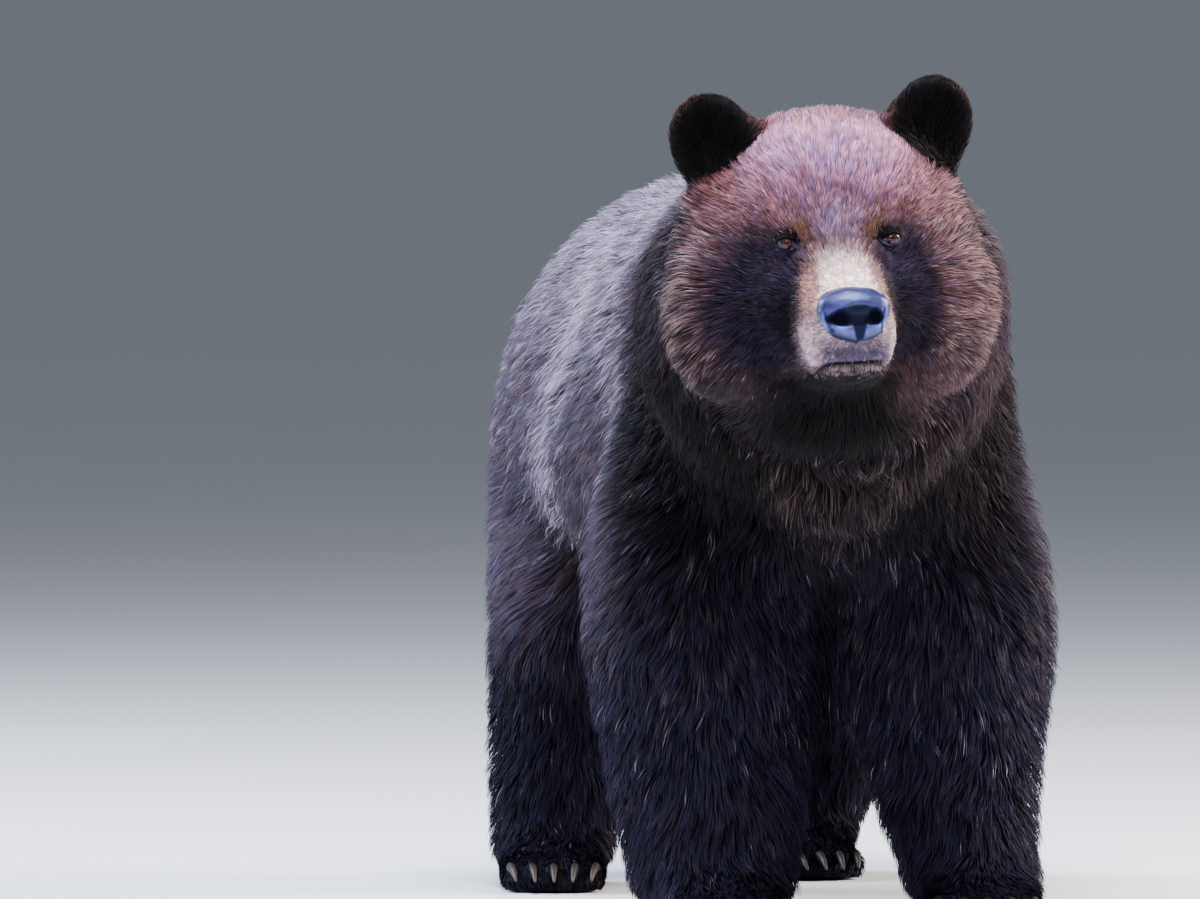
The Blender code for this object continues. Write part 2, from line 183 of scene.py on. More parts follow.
def ripple(places, size, seed):
    # a smooth, repeatable wander between about -1 and 1, with waves about size long
    chance = np.random.default_rng(seed)
    total = np.zeros(len(places))
    for _ in range(6):
        way = chance.normal(size=3)
        way = way / np.linalg.norm(way) * 2 * math.pi / (size * chance.uniform(0.7, 1.5))
        total += np.sin(places @ way + chance.uniform(0, 2 * math.pi))
    return total / 2.6


# the head's own frame: origin midway between the eyes, X to the bear's left, Y back, Z up

def boxCentre(nodeName):
    low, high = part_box(nodeName)
    return np.array((low + high) / 2)


eyeLeft, eyeRight = boxCentre("eye_left"), boxCentre("eye_right")
eyeMiddle = (eyeLeft + eyeRight) / 2
eyeHalfSpacing = float(np.linalg.norm(eyeLeft - eyeRight)) / 2
headX = unit(eyeLeft - eyeRight)
headZ = unit(np.array([0, 0, 1.0]) - headX[2] * headX)
headY = np.cross(headZ, headX)
headAxes = np.stack([headX, headY, headZ])


def toHead(places):
    return (places - eyeMiddle) @ headAxes.T


def headParts(places):
    # places in the head's frame, then how far each is from its middle, back and up
    q = toHead(places)
    return q, abs(q[:, 0]), q[:, 1], q[:, 2]


def fromHead(places):
    return places @ headAxes + eyeMiddle


earPlaces = {side: toHead(boxCentre("ear_" + side)) for side in ("left", "right")}
noseCentre = toHead(boxCentre("nose"))
tailCentre = boxCentre("tail")
pawMiddles = {foot: sum(np.array(corner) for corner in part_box(foot)) / 2
              for foot in ("forepaw_left", "forepaw_right", "hindpaw_left", "hindpaw_right")}


# camera: low and nearly head on, from far off with a long lens

cameraPlace = {"turn": 7.0, "aside": -0.2311, "away": 16.322, "height": 1.03, "aimHeight": 0.565, "aimAway": 16.0,
               "lens": 408.0}


def makeCamera():
    turn = math.radians(cameraPlace["turn"])
    ahead = Vector((math.sin(turn), math.cos(turn), 0))
    across = Vector((math.cos(turn), -math.sin(turn), 0))
    lens = bpy.data.cameras.new("camera")
    lens.sensor_width = 36
    lens.lens = cameraPlace["lens"]
    lens.clip_end = 200
    camera = makeObject("camera", lens)
    place = across * cameraPlace["aside"] - ahead * cameraPlace["away"]
    camera.location = (place.x, place.y, cameraPlace["height"])
    dip = math.atan((cameraPlace["height"] - cameraPlace["aimHeight"]) / cameraPlace["aimAway"])
    camera.rotation_euler = (math.pi / 2 - dip, 0, -turn)
    scene.camera = camera


makeCamera()
print("camera placed")


# materials

def setInputs(tree, node, values):
    # each value is a plain one, or another node's output to link
    for name, value in values.items():
        if isinstance(value, bpy.types.NodeSocket):
            tree.links.new(value, node.inputs[name])
        else:
            node.inputs[name].default_value = value


def addNode(tree, kind, inputs=(), output=0, **settings):
    # adds a node and gives back one of its outputs
    node = tree.nodes.new("ShaderNode" + kind)
    for name, value in settings.items():
        setattr(node, name, value)
    setInputs(tree, node, dict(inputs))
    return node.outputs[output]


def newMaterial(name):
    material = bpy.data.materials.new(name)
    material.use_nodes = True
    tree = material.node_tree
    return material, tree, tree.nodes["Principled BSDF"], addNode(tree, "TexCoord", output="Object")


def stored(tree, name, output="Fac"):
    # a value or colour kept in the mesh
    return addNode(tree, "Attribute", output=output, attribute_name=name)


def scaled(tree, colour, share):
    return addNode(tree, "VectorMath", {0: colour, "Scale": share}, operation="SCALE")


def rampOf(tree, value, stops):
    colour = addNode(tree, "ValToRGB", {"Fac": value})
    elements = colour.node.color_ramp.elements
    while len(elements) < len(stops):
        elements.new(0.5)
    for element, (place, tone) in zip(elements, stops):
        element.position = place
        element.color = (*tone, 1)
    return colour


def addBump(tree, shader, height, strength, distance):
    bump = addNode(tree, "Bump", {"Height": height, "Strength": strength, "Distance": distance})
    setInputs(tree, shader, {"Normal": bump})


coatLooks = {
    "bear_fur": {"speck": {"Scale": 420.0, "Detail": 2.0}, "tones": (0.75, 1.25), "roughness": 0.5, "specular": 0.05},
    "bear_skin": {"speck": {"Scale": 260.0, "Detail": 5.0, "Roughness": 0.7}, "tones": (0.5, 1.2), "roughness": 0.7,
                  "specular": 0.04, "bump": (0.6, 0.0015)},
}


def makeCoatMaterial(name):
    look = coatLooks[name]
    material, tree, shader, where = newMaterial(name)
    speck = addNode(tree, "TexNoise", {"Vector": where, **look["speck"]})
    low, high = look["tones"]
    tone = addNode(tree, "MapRange", {"Value": speck, "To Min": low, "To Max": high})
    setInputs(tree, shader, {"Base Color": scaled(tree, stored(tree, "coat", "Color"), tone),
                             "Roughness": look["roughness"], "Specular IOR Level": look["specular"]})
    if "bump" in look:
        addBump(tree, shader, speck, *look["bump"])
    return material


# the coat's colours, by place, for the skin and the tufts alike

# the violet-blue cast of the body, legs, forehead and grey tips is painted cool skylight laid over the coat's own
# browns
coatColours = {
    "body": (0.066, 0.049, 0.068), "back": (0.125, 0.097, 0.13), "flankLow": (0.058, 0.044, 0.066),
    "legs": (0.0145, 0.0118, 0.0235), "belly": (0.013, 0.01, 0.013), "neck": (0.015, 0.0084, 0.0105),
    "leftNeck": (0.0589, 0.03666, 0.04536), "nape": (0.06875, 0.05335, 0.0715), "ruff": (0.0074, 0.0048, 0.0057),
    "chest": (0.0018, 0.0014, 0.0019), "throat": (0.0032, 0.0024, 0.0028), "cheek": (0.095, 0.047, 0.054),
    "cheekLowShade": (0.036, 0.021, 0.026), "temple": (0.182, 0.079, 0.094), "forehead": (0.4, 0.2, 0.335),
    "crown": (0.34, 0.122, 0.14), "betweenEyes": (0.52, 0.32, 0.48), "faceDark": (0.0135, 0.0092, 0.0192),
    "underEye": (0.04, 0.027, 0.056), "besideMuzzle": (0.0048, 0.0034, 0.0048), "bridge": (0.9, 0.7, 0.65),
    "muzzleSide": (0.34, 0.175, 0.15), "muzzleLow": (0.42, 0.31, 0.33), "upperLip": (0.11, 0.082, 0.132),
    "lips": (0.008, 0.006, 0.009), "chin": (0.175, 0.122, 0.128), "brow": (0.16, 0.075, 0.05),
    "lids": (0.004, 0.002, 0.0026), "lidRimHighlight": (0.12, 0.12, 0.2), "ear": (0.003, 0.0019, 0.0021),
    "earRim": (0.075, 0.029, 0.024), "paleTip": (0.68, 0.42, 0.41), "cheekTip": (0.33, 0.205, 0.195),
    "ruffTip": (0.095, 0.062, 0.06), "greyTip": (0.44, 0.365, 0.475), "sheenBandTip": (0.7, 0.61, 0.74),
    "black": (0.0, 0.0, 0.0),
}


def headShare(places):
    # 1 on the head, 0 on the neck, fading across a slanting line behind the ears and cheeks
    q, x, y, z = headParts(places)
    return fall(-0.045, 0.055, (y - 0.165) * 0.97 - (z + 0.07) * 0.24)


def legShare(places):
    behind = ramp(0.0, 0.3, places[:, 1])
    return fall(0.3 - 0.05 * behind, 0.56 - 0.12 * behind, places[:, 2])


flankBand = {"at": 0.114, "height": 0.72, "above": 16.0, "below": 4.0, "width": 0.068, "low": 0.42, "high": 0.88,
             "far": 0.4}
shoulderRidge = {"at": -0.12, "height": 0.68, "most": -0.03, "width": 0.02, "low": 0.52, "high": 0.86}


def ridgeLine(places):
    # the back edge of the shoulder, leaning back as it rises
    return np.minimum(shoulderRidge["at"] + places[:, 2] - shoulderRidge["height"], shoulderRidge["most"])


def sheenBandShare(places, normals):
    # painted highlight where the hair turns to the light: a broad band down the flank and a thin one on the
    # shoulder's edge
    x, y, z = places.T
    y = y + 0.026 * ripple(places, 0.16, 51)
    rise = z - flankBand["height"]
    middle = flankBand["at"] + np.where(rise > 0, flankBand["above"], flankBand["below"]) * rise**2
    share = bell(y, middle, flankBand["width"]) * between(flankBand["low"], flankBand["high"], 0.13, z)
    edge = bell(y, ridgeLine(places), shoulderRidge["width"])
    edge *= between(shoulderRidge["low"], shoulderRidge["high"], 0.08, z)
    share = np.maximum(0.8 * share, 0.5 * edge)
    share *= 1 - (1 - flankBand["far"]) * ramp(-0.05, 0.05, x)
    return share * ramp(0.15, 0.6, abs(normals[:, 0]))


def neckShare(places):
    behind = places[:, 1] - ridgeLine(places) + 0.022 * ripple(places, 0.13, 43)
    return (1 - headShare(places)) * fall(-0.12, 0.03, behind)


bib = {"tip": (-0.011, 0.463), "slope": 0.95}


def bibShare(places):
    # 1 in the ruff, which narrows to a point between the forelegs, and 0 on the dark chest below it
    edge = bib["tip"][1] + bib["slope"] * abs(places[:, 0] - bib["tip"][0])
    return ramp(-0.02, 0.03, places[:, 2] - edge + 0.008 * ripple(places, 0.05, 41))


def hollowShadeShare(places, normals):
    # painted shade in the hollow of the neck under the right cheek
    x, y, z = places.T
    share = ramp(0.05, 0.13, -x) * between(0.47, 0.72, 0.06, z)
    return share * ramp(-0.3, 0.3, -normals[:, 1]) * fall(-0.3, -0.16, y)


def earShare(places):
    q = toHead(places)
    away = [lengths((q - centre) / [1.0, 1.0, 1.1]) for centre in earPlaces.values()]
    return fall(0.052, 0.074, np.minimum(*away))


def paint(colour, rows):
    # lays colours over one another, each by its share of every place
    return layered(colour, [(coatColours[name], share) for name, share in rows])


def bodyColour(places, normals):
    x, y, z = places.T
    nx, ny, nz = normals.T
    neck, legs = neckShare(places), legShare(places)
    # painted light: the left side of the neck lighter, as if lit from that side
    leftNeck = ramp(0.04, 0.14, x) * ramp(0.56, 0.68, z) * fall(-0.46, -0.28, y)
    front = ramp(0.1, 0.7, -ny) * fall(-0.16, 0.02, y)
    front = np.maximum(neck * (1 - 0.35 * ramp(0.6, 0.95, abs(nx))), front)
    middle = 1 - 0.55 * ramp(0.1, 0.2, abs(x))
    outward = ramp(0.55, 0.95, nx * np.sign(x)) * between(0.26, 0.6, 0.16, z)
    gap = bell(x, -0.006, 0.03) * fall(0.42, 0.48, z) * fall(-0.25, -0.15, y)
    return paint(coatColours["body"], [
        # the back lighter where the fur faces up, here and on the neck, and the belly darkest where it faces down:
        # partly the coat's own tones, partly painted top light and underside shade
        ("back", ramp(0.15, 0.75, nz)), ("flankLow", fall(0.46, 0.68, z)), ("belly", fall(-0.7, 0.1, nz) * 0.9),
        ("neck", neck), ("back", neck * ramp(0.45, 0.85, nz) * 0.8), ("leftNeck", leftNeck * neck * 0.8),
        ("ruff", front * fall(0.6, 0.74, z)),
        ("chest", front * middle * (1 - bibShare(places)) * fall(0.6, 0.72, z)),
        # painted shade in the hollow under the right cheek
        ("black", 0.55 * hollowShadeShare(places, normals)),
        ("legs", legs), ("black", 0.35 * legs * ramp(0.15, 0.35, y)), ("body", outward * 0.62),
        ("black", 0.8 * gap),  # the deep shadow between the forelegs
    ])


def muzzleColour(places, across, right):
    # pale on top, orange at its sides, greyer at the lips
    q, x, y, z = headParts(places)
    # the orange sides are the muzzle's own; their reach further in on the right side is painted shade
    tan = ramp(0.46, 0.74 + 0.1 * (1 - right), across + 0.05 * ripple(places, 0.01, 61))
    return paint(coatColours["bridge"], [
        ("muzzleSide", tan), ("muzzleSide", ramp(-0.045, 0.005, z) * 0.8),
        # painted shade beside the nose's wing on the right side
        ("black", 0.4 * right * bell(z, -0.085, 0.016) * ramp(0.6, 0.85, across)),
        ("muzzleLow", fall(-0.115, -0.075, z)), ("upperLip", fall(-0.125, -0.1, z) * fall(0.03, 0.046, x)),
        ("chin", fall(-0.141, -0.136, z)),
    ])


def faceColour(places):
    q, x, y, z = headParts(places)
    right = ramp(-0.01, 0.01, -q[:, 0])
    ahead = y < 0.05
    behind = y + 0.01 * ripple(places, 0.04, 73)
    face = paint(coatColours["cheek"], [
        # the forehead's pale mauve is partly painted sheen of the sky
        ("temple", ramp(-0.01, 0.05, z)), ("forehead", fall(0.055, 0.115, x) * ramp(0.025, 0.065, z)),
        ("crown", ramp(0.1, 0.155, z) * ramp(-0.02, 0.06, y)),
        ("nape", ramp(0.085, 0.15, behind) * ramp(0.03, 0.1, z)),
        ("neck", ramp(0.135, 0.185, x + 0.25 * (y - 0.05)) * fall(0.02, 0.1, z)),
        # the lower cheeks painted in shade, a little more on the right side
        ("cheekLowShade", fall(-0.125, -0.045, z + 0.5 * (x - 0.12) - 0.03 * right)),
        ("ruff", fall(-0.2, -0.12, z) * ramp(0.03, 0.09, x) * 0.9),
        # painted shade on the right side's lower outer edge
        ("black", 0.38 * right * ramp(0.115, 0.15, x) * fall(-0.06, -0.02, z)),
        ("faceDark", maskShare(q, x, y, z) * 0.97),
        ("underEye", bell(x, 0.066, 0.02) * bell(z, -0.028, 0.016) * ahead * 0.8),
        # the pale mauve between the eyes is partly painted skylight
        ("betweenEyes", bell(x, 0, 0.03) * between(-0.012, 0.052, 0.02, z) * 0.8),
        ("throat", fall(-0.16, -0.14, z) * fall(0.05, 0.12, x)),
        # painted light: the left side's lower cheek brought back toward the cheek's own brown, as if lit from that
        # side
        ("cheek", (1 - right) * between(-0.21, -0.12, 0.025, z) * ramp(0.04, 0.09, x) * 0.42),
    ])
    # the muzzle, broader downwards
    low = np.clip(-0.02 - z, 0, 0.12)
    halfWidth = 0.037 + 0.15 * low + (0.009 - 0.05 * low) * right + 0.008 * fall(-0.14, -0.08, y)
    halfWidth += 0.2 * np.clip(low - 0.06, 0, 0.04) * (1 - right)
    across = x / halfWidth
    # the near-black beside the muzzle: a dark marking, made darker as painted shade
    beside = fall(1.15, 1.75, across) * fall(-0.075, -0.035, z) * fall(-0.02, 0.02, y)
    back = -0.038 + 0.038 * fall(0.6, 0.95, across)
    onMuzzle = fall(0.92, 1.1, across) * fall(-0.04, 0.016, z + 0.3 * x) * fall(back - 0.035, back + 0.035, y)
    onMuzzle *= ramp(-0.15, -0.141, z + 0.005 * ripple(places, 0.01, 61))
    face = mixed(paint(face, [("besideMuzzle", beside * 0.9)]), muzzleColour(places, across, right), onMuzzle)
    # the mouth, the orange spot above the eye, the black lids, which reach higher as painted shade under the brow,
    # and the painted highlight of the lower lid's wet rim
    lip = bell(z, mouthHeight(x, y), 0.003) * (y < -0.04)
    spot = np.hypot((x - 0.04 - 0.35 * (z - 0.01)) / 0.0115, (z - 0.01) / 0.0155)
    around = np.hypot((x - eyeHalfSpacing) / 0.0165, (z - 0.003) / 0.0115)
    opening = np.hypot((x - eyeHalfSpacing) / eyeSizes["halfWidth"], z / eyeSizes["halfHeight"])
    face = paint(face, [
        ("lips", np.clip(lip * 1.3, 0, 1) * onMuzzle), ("brow", fall(0.5, 1.4, spot) * 0.9 * ahead),
        ("lids", fall(0.8, 1.08, around) * ahead),
        ("lidRimHighlight", bell(opening, 1.1, 0.12) * fall(-0.003, 0.001, z) * ahead),
    ])
    warm = ramp(-0.7, 0.9, ripple(places, 0.045, 71)) * ramp(0.0, 0.06, z)
    return mixed(face, face * [1.0, 0.87, 0.76], warm * (1 - onMuzzle) * (0.4 + 0.6 * ramp(0.04, 0.09, x)))


def coatColour(places, normals):
    q, x, y, z = headParts(places)
    colour = mixed(bodyColour(places, normals), faceColour(places), headShare(places))
    # the ears: nearly black, the black reaching down past their roots as painted shade on the neck behind them, with
    # a reddish rim
    rim = np.zeros(len(places))
    for centre in earPlaces.values():
        root = centre + [0.028 * np.sign(centre[0]), 0.02, -0.075]
        colour = paint(colour, [("ear", fall(0.5, 1.2, lengths((q - root) / [0.05, 0.06, 0.085])))])
        away = lengths((q - centre)[:, [0, 2]] / [0.053, 0.064])
        rim = np.maximum(rim, ramp(0.78, 0.98, away) * fall(1.3, 1.5, away))
    ears = earShare(places)
    return paint(colour, [("ear", ears), ("earRim", ears * rim * ramp(-0.01, 0.03, z - 0.11))])


eyeSizes = {"radius": 0.0125, "lid": 0.0013, "halfWidth": 0.0103, "halfHeight": 0.0064, "outward": 9.0, "tilt": 7.0}


def maskShare(q, x, y, z):
    # the dark patches below the eyes and beside the muzzle, down to the jaw, the left one a little smaller
    left = ramp(-0.01, 0.01, q[:, 0])
    under = np.hypot((x - 0.083 + 0.012 * left) / (0.059 - 0.013 * left), (z + 0.066) / 0.094)
    return fall(0.6, 1.15, under) * fall(0.1, 0.16, y)


def mouthHeight(x, y):
    # the line of the mouth: level across the front, falling a little towards its corners
    return -0.1365 - 0.1 * np.clip(x - 0.026, 0, 1) - 0.1 * np.clip(y + 0.125, 0, 0.12)


# the hair's measures, by part: for the skin's depth and for the blades

hairKinds = ("count", "length", "width", "pull", "depth")
# blades on a square centimetre, their length and width, how far tufts draw together, and the coat's depth
hair = {
    "body": (6.2, 0.06, 0.0015, 0.42, 0.036), "back": (6.2, 0.06, 0.0015, 0.42, 0.03),
    "neck": (8.0, 0.062, 0.0014, 0.42, 0.04), "legs": (7.4, 0.048, 0.0014, 0.42, 0.028),
    "wrist": (10, 0.036, 0.0013, 0.42, 0.017), "paws": (16, 0.016, 0.0012, 0.3, 0.0055),
    "face": (36, 0.0115, 0.0008, 0.2, 0.006), "forehead": (30, 0.017, 0.0009, 0.24, 0.0085),
    "crown": (20, 0.024, 0.001, 0.28, 0.013), "cheek": (15, 0.05, 0.0011, 0.34, 0.024),
    "muzzle": (46, 0.007, 0.0007, 0.1, 0.0022), "lids": (36, 0.0115, 0.0008, 0.2, 0.0012),
    "ears": (24, 0.017, 0.0009, 0.22, 0.005), "tail": (10, 0.034, 0.0015, 0.4, 0.014),
}
# from and to of the change at wrist, paw, forehead, crown, cheek, temple, jaw and chin, for the blades and for the
# coat's depth
bladeEdges = [(0.07, 0.18), (0.03, 0.07), (0.03, 0.09), (0.1, 0.16), (0.09, 0.16), (0.03, 0.11), (-0.195, -0.155),
              (-0.166, -0.15)]
depthEdges = [(0.08, 0.2), (0.035, 0.085), (0.02, 0.08), (0.09, 0.16), (0.1, 0.17), (0.02, 0.1), (-0.21, -0.165),
              (-0.2, -0.165)]


def hairAt(places, normals, kind):
    # one measure of the hair for each place, from the shares of the parts there
    wrist, paw, forehead, crown, cheek, temple, jaw, chin = depthEdges if kind == "depth" else bladeEdges
    sizes = {part: float(values[hairKinds.index(kind)]) for part, values in hair.items()}
    q, x, y, z = headParts(places)

    def blended(value, rows):
        for part, share in rows:
            value = value + (sizes[part] - value) * share
        return value

    onMuzzle = fall(0.045, 0.075, x) * fall(-0.06, -0.015, y) * ramp(*chin, z)
    nearEye = fall(0.014, 0.035, np.hypot(x - eyeHalfSpacing, z)) * (y < 0.05)
    face = blended(sizes["face"], [
        ("forehead", ramp(*forehead, z)), ("crown", ramp(*crown, z)),
        ("cheek", ramp(*cheek, x) * fall(*temple, z)), ("cheek", fall(*jaw, z)),
        ("muzzle", onMuzzle), ("lids", nearEye * (kind == "depth")),
    ])
    value = blended(sizes["body"], [
        ("back", ramp(0.2, 0.9, normals[:, 2])), ("neck", neckShare(places)), ("legs", legShare(places)),
        ("wrist", fall(*wrist, places[:, 2])), ("paws", fall(*paw, places[:, 2])),
    ])
    value += (face - value) * headShare(places)
    return blended(value, [("ears", earShare(places)), ("tail", fall(0.05, 0.1, lengths(places - tailCentre)))])


# the skin: one shell made from the flesh nodes and drawn in by the coat's depth

skinSizes = {"grow": 0.0016, "voxel": 0.0092, "rounds": 4, "smoothEach": 3, "floor": 0.0004}
fleshNodes = sorted(name for name in nodes if "claw" not in name and name not in ("nose", "eye_left", "eye_right"))


def makeSkin():
    skin = copyOfNodes("bear_skin", fleshNodes + ["eye_left", "eye_right", "nose"])
    applyModifier(skin, "DISPLACE", strength=skinSizes["grow"], mid_level=0.0)
    applyModifier(skin, "REMESH", mode="VOXEL", voxel_size=skinSizes["voxel"])
    mesh = skin.data
    places, normals = getPlaces(mesh), getNormals(mesh)
    depth = hairAt(places, normals, "depth") + skinSizes["grow"]
    sole = fall(0.004, 0.02, places[:, 2]) * ramp(0.3, 0.8, -normals[:, 2])
    depth = depth * (1 - sole) + skinSizes["grow"] * sole
    for _ in range(skinSizes["rounds"]):
        places = getPlaces(mesh) - getNormals(mesh) * depth[:, None] / skinSizes["rounds"]
        keepAbove(places, skinSizes["floor"])
        setPlaces(mesh, places)
        applyModifier(skin, "SMOOTH", factor=0.5, iterations=skinSizes["smoothEach"])
    return skin


def refine(piece, wanted):
    # finer faces where the test picks their middles, in the head's frame
    makeActive(piece)
    mesh = piece.data
    picked = wanted(*headParts(readAll(mesh.polygons, "center")))
    mesh.vertices.foreach_set("select", np.zeros(len(mesh.vertices), bool))
    mesh.edges.foreach_set("select", np.zeros(len(mesh.edges), bool))
    mesh.polygons.foreach_set("select", picked)
    bpy.ops.object.mode_set(mode="EDIT")
    bpy.ops.mesh.select_mode(type="FACE")
    bpy.ops.mesh.subdivide(number_cuts=1, smoothness=0.6)
    bpy.ops.object.mode_set(mode="OBJECT")


def isFace(q, x, y, z):
    return (y < 0.13) & (z > -0.2)


def isMuzzle(q, x, y, z):
    return (y < 0.01) & (x < 0.095) & (z > -0.175) & (z < 0.045)


def isLid(q, x, y, z):
    return (lengths(q - [0, -0.004, 0] - np.sign(q[:, :1]) * [eyeHalfSpacing, 0, 0]) < 0.026) & (y < 0.012)


def eyeAxes(side):
    # across (towards the outer corner), up and out of the eye, in the head's frame
    turn = math.radians(eyeSizes["outward"])
    out = np.array([side * math.sin(turn), -math.cos(turn), -0.03])
    out = unit(out)
    tilt = math.radians(eyeSizes["tilt"])
    across = np.array([side * math.cos(turn) * math.cos(tilt), math.sin(turn), math.sin(tilt)])
    across = unit(across - out * (across @ out))
    up = np.cross(across, out) * -side
    return across, up * np.sign(up[2]), out


def shapeLids(q, side):
    across, up, out = eyeAxes(side)
    centre = np.array([side * eyeHalfSpacing, 0, 0])
    ray = q - centre
    away = lengths(ray)
    near = (away < 0.045) & (ray @ out > -0.004)
    way = ray / np.maximum(away, 1e-6)[:, None]
    radius = eyeSizes["radius"]
    u, v = way @ across * radius, way @ up * radius
    halfHeight = np.where(v > 0, 0.74, 1) * eyeSizes["halfHeight"] * np.clip(1.12 - (u / 0.0135) ** 2, 0.35, 1)
    opening = np.hypot(u / eyeSizes["halfWidth"], v / halfHeight)
    inside = fall(0.92, 1.1, opening)
    lidReach = radius + eyeSizes["lid"] + 0.0009 * bell(opening, 1.25, 0.22)
    loose = ramp(1.25, 2.6, opening)
    reach = lidReach * (1 - loose) + np.maximum(away, lidReach * 0.96) * loose
    reach = reach * (1 - inside) + (radius - 0.0016) * inside
    fold = bell(opening, 1.75, 0.2) * (way @ up > 0.1) * 0.0012
    moved = centre + way * (reach - fold)[:, None]
    edge = fall(0.03, 0.045, away)
    return np.where(near[:, None], q + (moved - q) * edge[:, None], q)


faceSizes = {
    "mouthDepth": 0.004, "mouthWidth": 0.0022, "lipSwell": 0.0016, "philtrum": 0.0022, "furrow": 0.0045,
    "brow": 0.0035, "noseSeat": 0.024, "pinch": 0.0055,
}


def shapeFace(piece):
    mesh = piece.data
    places, normals = getPlaces(mesh), getNormals(mesh)
    q, x, y, z = headParts(places)
    push = normals @ headAxes.T
    ahead = fall(-0.045, -0.02, y)
    line = mouthHeight(x, y)
    middle = q[:, 0]
    muzzle = ahead * fall(0.055, 0.07, x)
    move = -faceSizes["mouthDepth"] * bell(z, line, faceSizes["mouthWidth"]) * muzzle
    move += faceSizes["lipSwell"] * (bell(z, line + 0.0075, 0.0045) + bell(z, line - 0.007, 0.0045)) * muzzle
    groove = bell(middle, 0, 0.0022) * ramp(-0.138, -0.132, z) * fall(-0.1, -0.09, z)
    move -= faceSizes["philtrum"] * groove * fall(-0.115, -0.095, y)
    move -= faceSizes["furrow"] * bell(middle, 0, 0.012) * ramp(0.02, 0.05, z) * fall(0.11, 0.15, z) * (y < 0.1)
    browAway = np.hypot((x - 0.052) / 0.022, (z - 0.023) / 0.01)
    move += faceSizes["brow"] * np.exp(-(browAway**2)) * (y < 0.04)
    beside = ramp(0.026, 0.04, x) * fall(0.06, 0.075, x) * fall(-0.085, -0.045, y)
    move -= faceSizes["pinch"] * bell(z, -0.078, 0.028) * beside * (0.45 + 0.55 * (middle > 0))
    q = q + push * move[:, None]
    fromNose = q - noseCentre
    seat = np.hypot(fromNose[:, 0] / 0.036, fromNose[:, 2] / 0.029)
    q[:, 1] += faceSizes["noseSeat"] * fall(0.72, 0.98, seat) * (fromNose[:, 1] < 0.012)
    for side in (1, -1):
        mine = q[:, 0] * side > 0.012
        q[mine] = shapeLids(q[mine], side)
    setPlaces(mesh, fromHead(q))


skin = makeSkin()
for isInside in (isFace, isMuzzle, isLid):
    refine(skin, isInside)
applyModifier(skin, "TRIANGULATE")
shapeFace(skin)
print("skin shaped:", len(skin.data.polygons), "triangles")


# which part of the body each place of the skin belongs to, and its place on the unwrapped skin

legParts = {"upper_foreleg": "foreleg", "forearm": "foreleg", "thigh": "hindleg", "shank": "hindleg",
            "forepaw": "forepaw", "hindpaw": "hindpaw"}
nodeParts = {"head": "head", "lower_jaw": "head", "neck": "neck", "trunk": "trunk", "tail": "tail",
             "ear_left": "ear_left", "ear_right": "ear_right"}
for side in ("_left", "_right"):
    nodeParts.update({name + side: part + side for name, part in legParts.items()})

# (left, bottom, width, height) of each part's patch on the unit square
patches = {"head": (0.01, 0.49, 0.5, 0.5), "neck": (0.52, 0.74, 0.47, 0.25), "trunk": (0.01, 0.01, 0.6, 0.47),
           "tail": (0.88, 0.01, 0.11, 0.11)}
pairedPatches = {"foreleg": ((0.63, 0.82), 0.39, 0.17, 0.24), "hindleg": ((0.63, 0.82), 0.13, 0.17, 0.25),
                 "forepaw": ((0.53, 0.63), 0.64, 0.09, 0.09), "hindpaw": ((0.73, 0.83), 0.64, 0.09, 0.09),
                 "ear": ((0.63, 0.75), 0.01, 0.11, 0.11)}
for part, (lefts, *rest) in pairedPatches.items():
    patches.update({part + "_left": (lefts[0], *rest), part + "_right": (lefts[1], *rest)})
partNames = list(patches)


def findParts(places):
    corners, faces, owner = [], [], []
    for nodeName, part in nodeParts.items():
        mesh = nodes[nodeName].data
        start = len(corners)
        corners += [vertex.co.copy() for vertex in mesh.vertices]
        faces += [[start + k for k in face.vertices] for face in mesh.polygons]
        owner += [partNames.index(part)] * len(mesh.polygons)
    finder = BVHTree.FromPolygons(corners, faces)
    return np.array([owner[finder.find_nearest(place)[2]] for place in places])


def turnedRound(out, up, along):
    # unrolled round an axis: the turn from up towards out, and the place along it
    return np.stack([np.arctan2(out, up) / (2 * math.pi) + 0.5, along], 1)


def spreadFrom(pole, rays):
    # spread over a disc from the pole's direction, the far side at its edge
    way = unit(rays)
    away = np.arccos(np.clip(way @ pole, -1, 1)) / math.pi
    across = np.array([1.0, 0, 0])
    turn = np.arctan2(way @ np.cross(pole, across), way @ across)
    return 0.5 + 0.5 * np.stack([away * np.cos(turn), away * np.sin(turn)], 1)


def unwrapped(places, parts):
    # an unwrap by parts: turned round a trunk, neck or leg, or spread from the middle of a head, ear, paw or tail
    flat = np.zeros((len(places), 2))
    for k, part in enumerate(partNames):
        mine = parts == k
        p, q = places[mine], toHead(places[mine])
        x, y, z = p.T
        if part == "trunk":
            local = turnedRound(x, z - 0.6, (y + 0.5) / 1.35)
        elif part == "neck":
            local = turnedRound(x + 0.02, z - 0.72, (y + 0.3 * (z - 0.7) + 0.72) / 0.55)
        elif "leg" in part:
            centre = pawMiddles[part.replace("leg", "paw")]
            outward = (x - centre[0]) * (1 if "left" in part else -1)
            local = turnedRound(outward, -(y - centre[1] - 0.04), z / 0.66)
        elif "paw" in part:
            local = spreadFrom([0, 0, 1.0], p - [*pawMiddles[part][:2], 0.03])
        elif part == "tail":
            local = spreadFrom([0, 1.0, 0], p - tailCentre)
        else:
            middle = [0, 0.1, -0.03] if part == "head" else earPlaces[part[4:]]
            local = spreadFrom([0, -1.0, 0], q - middle)
        left, bottom, width, height = patches[part]
        flat[mine] = np.array([left, bottom]) + np.clip(local, 0.005, 0.995) * [width, height]
    return flat


dressing = {"shade": 0.62, "torn": 0.05}


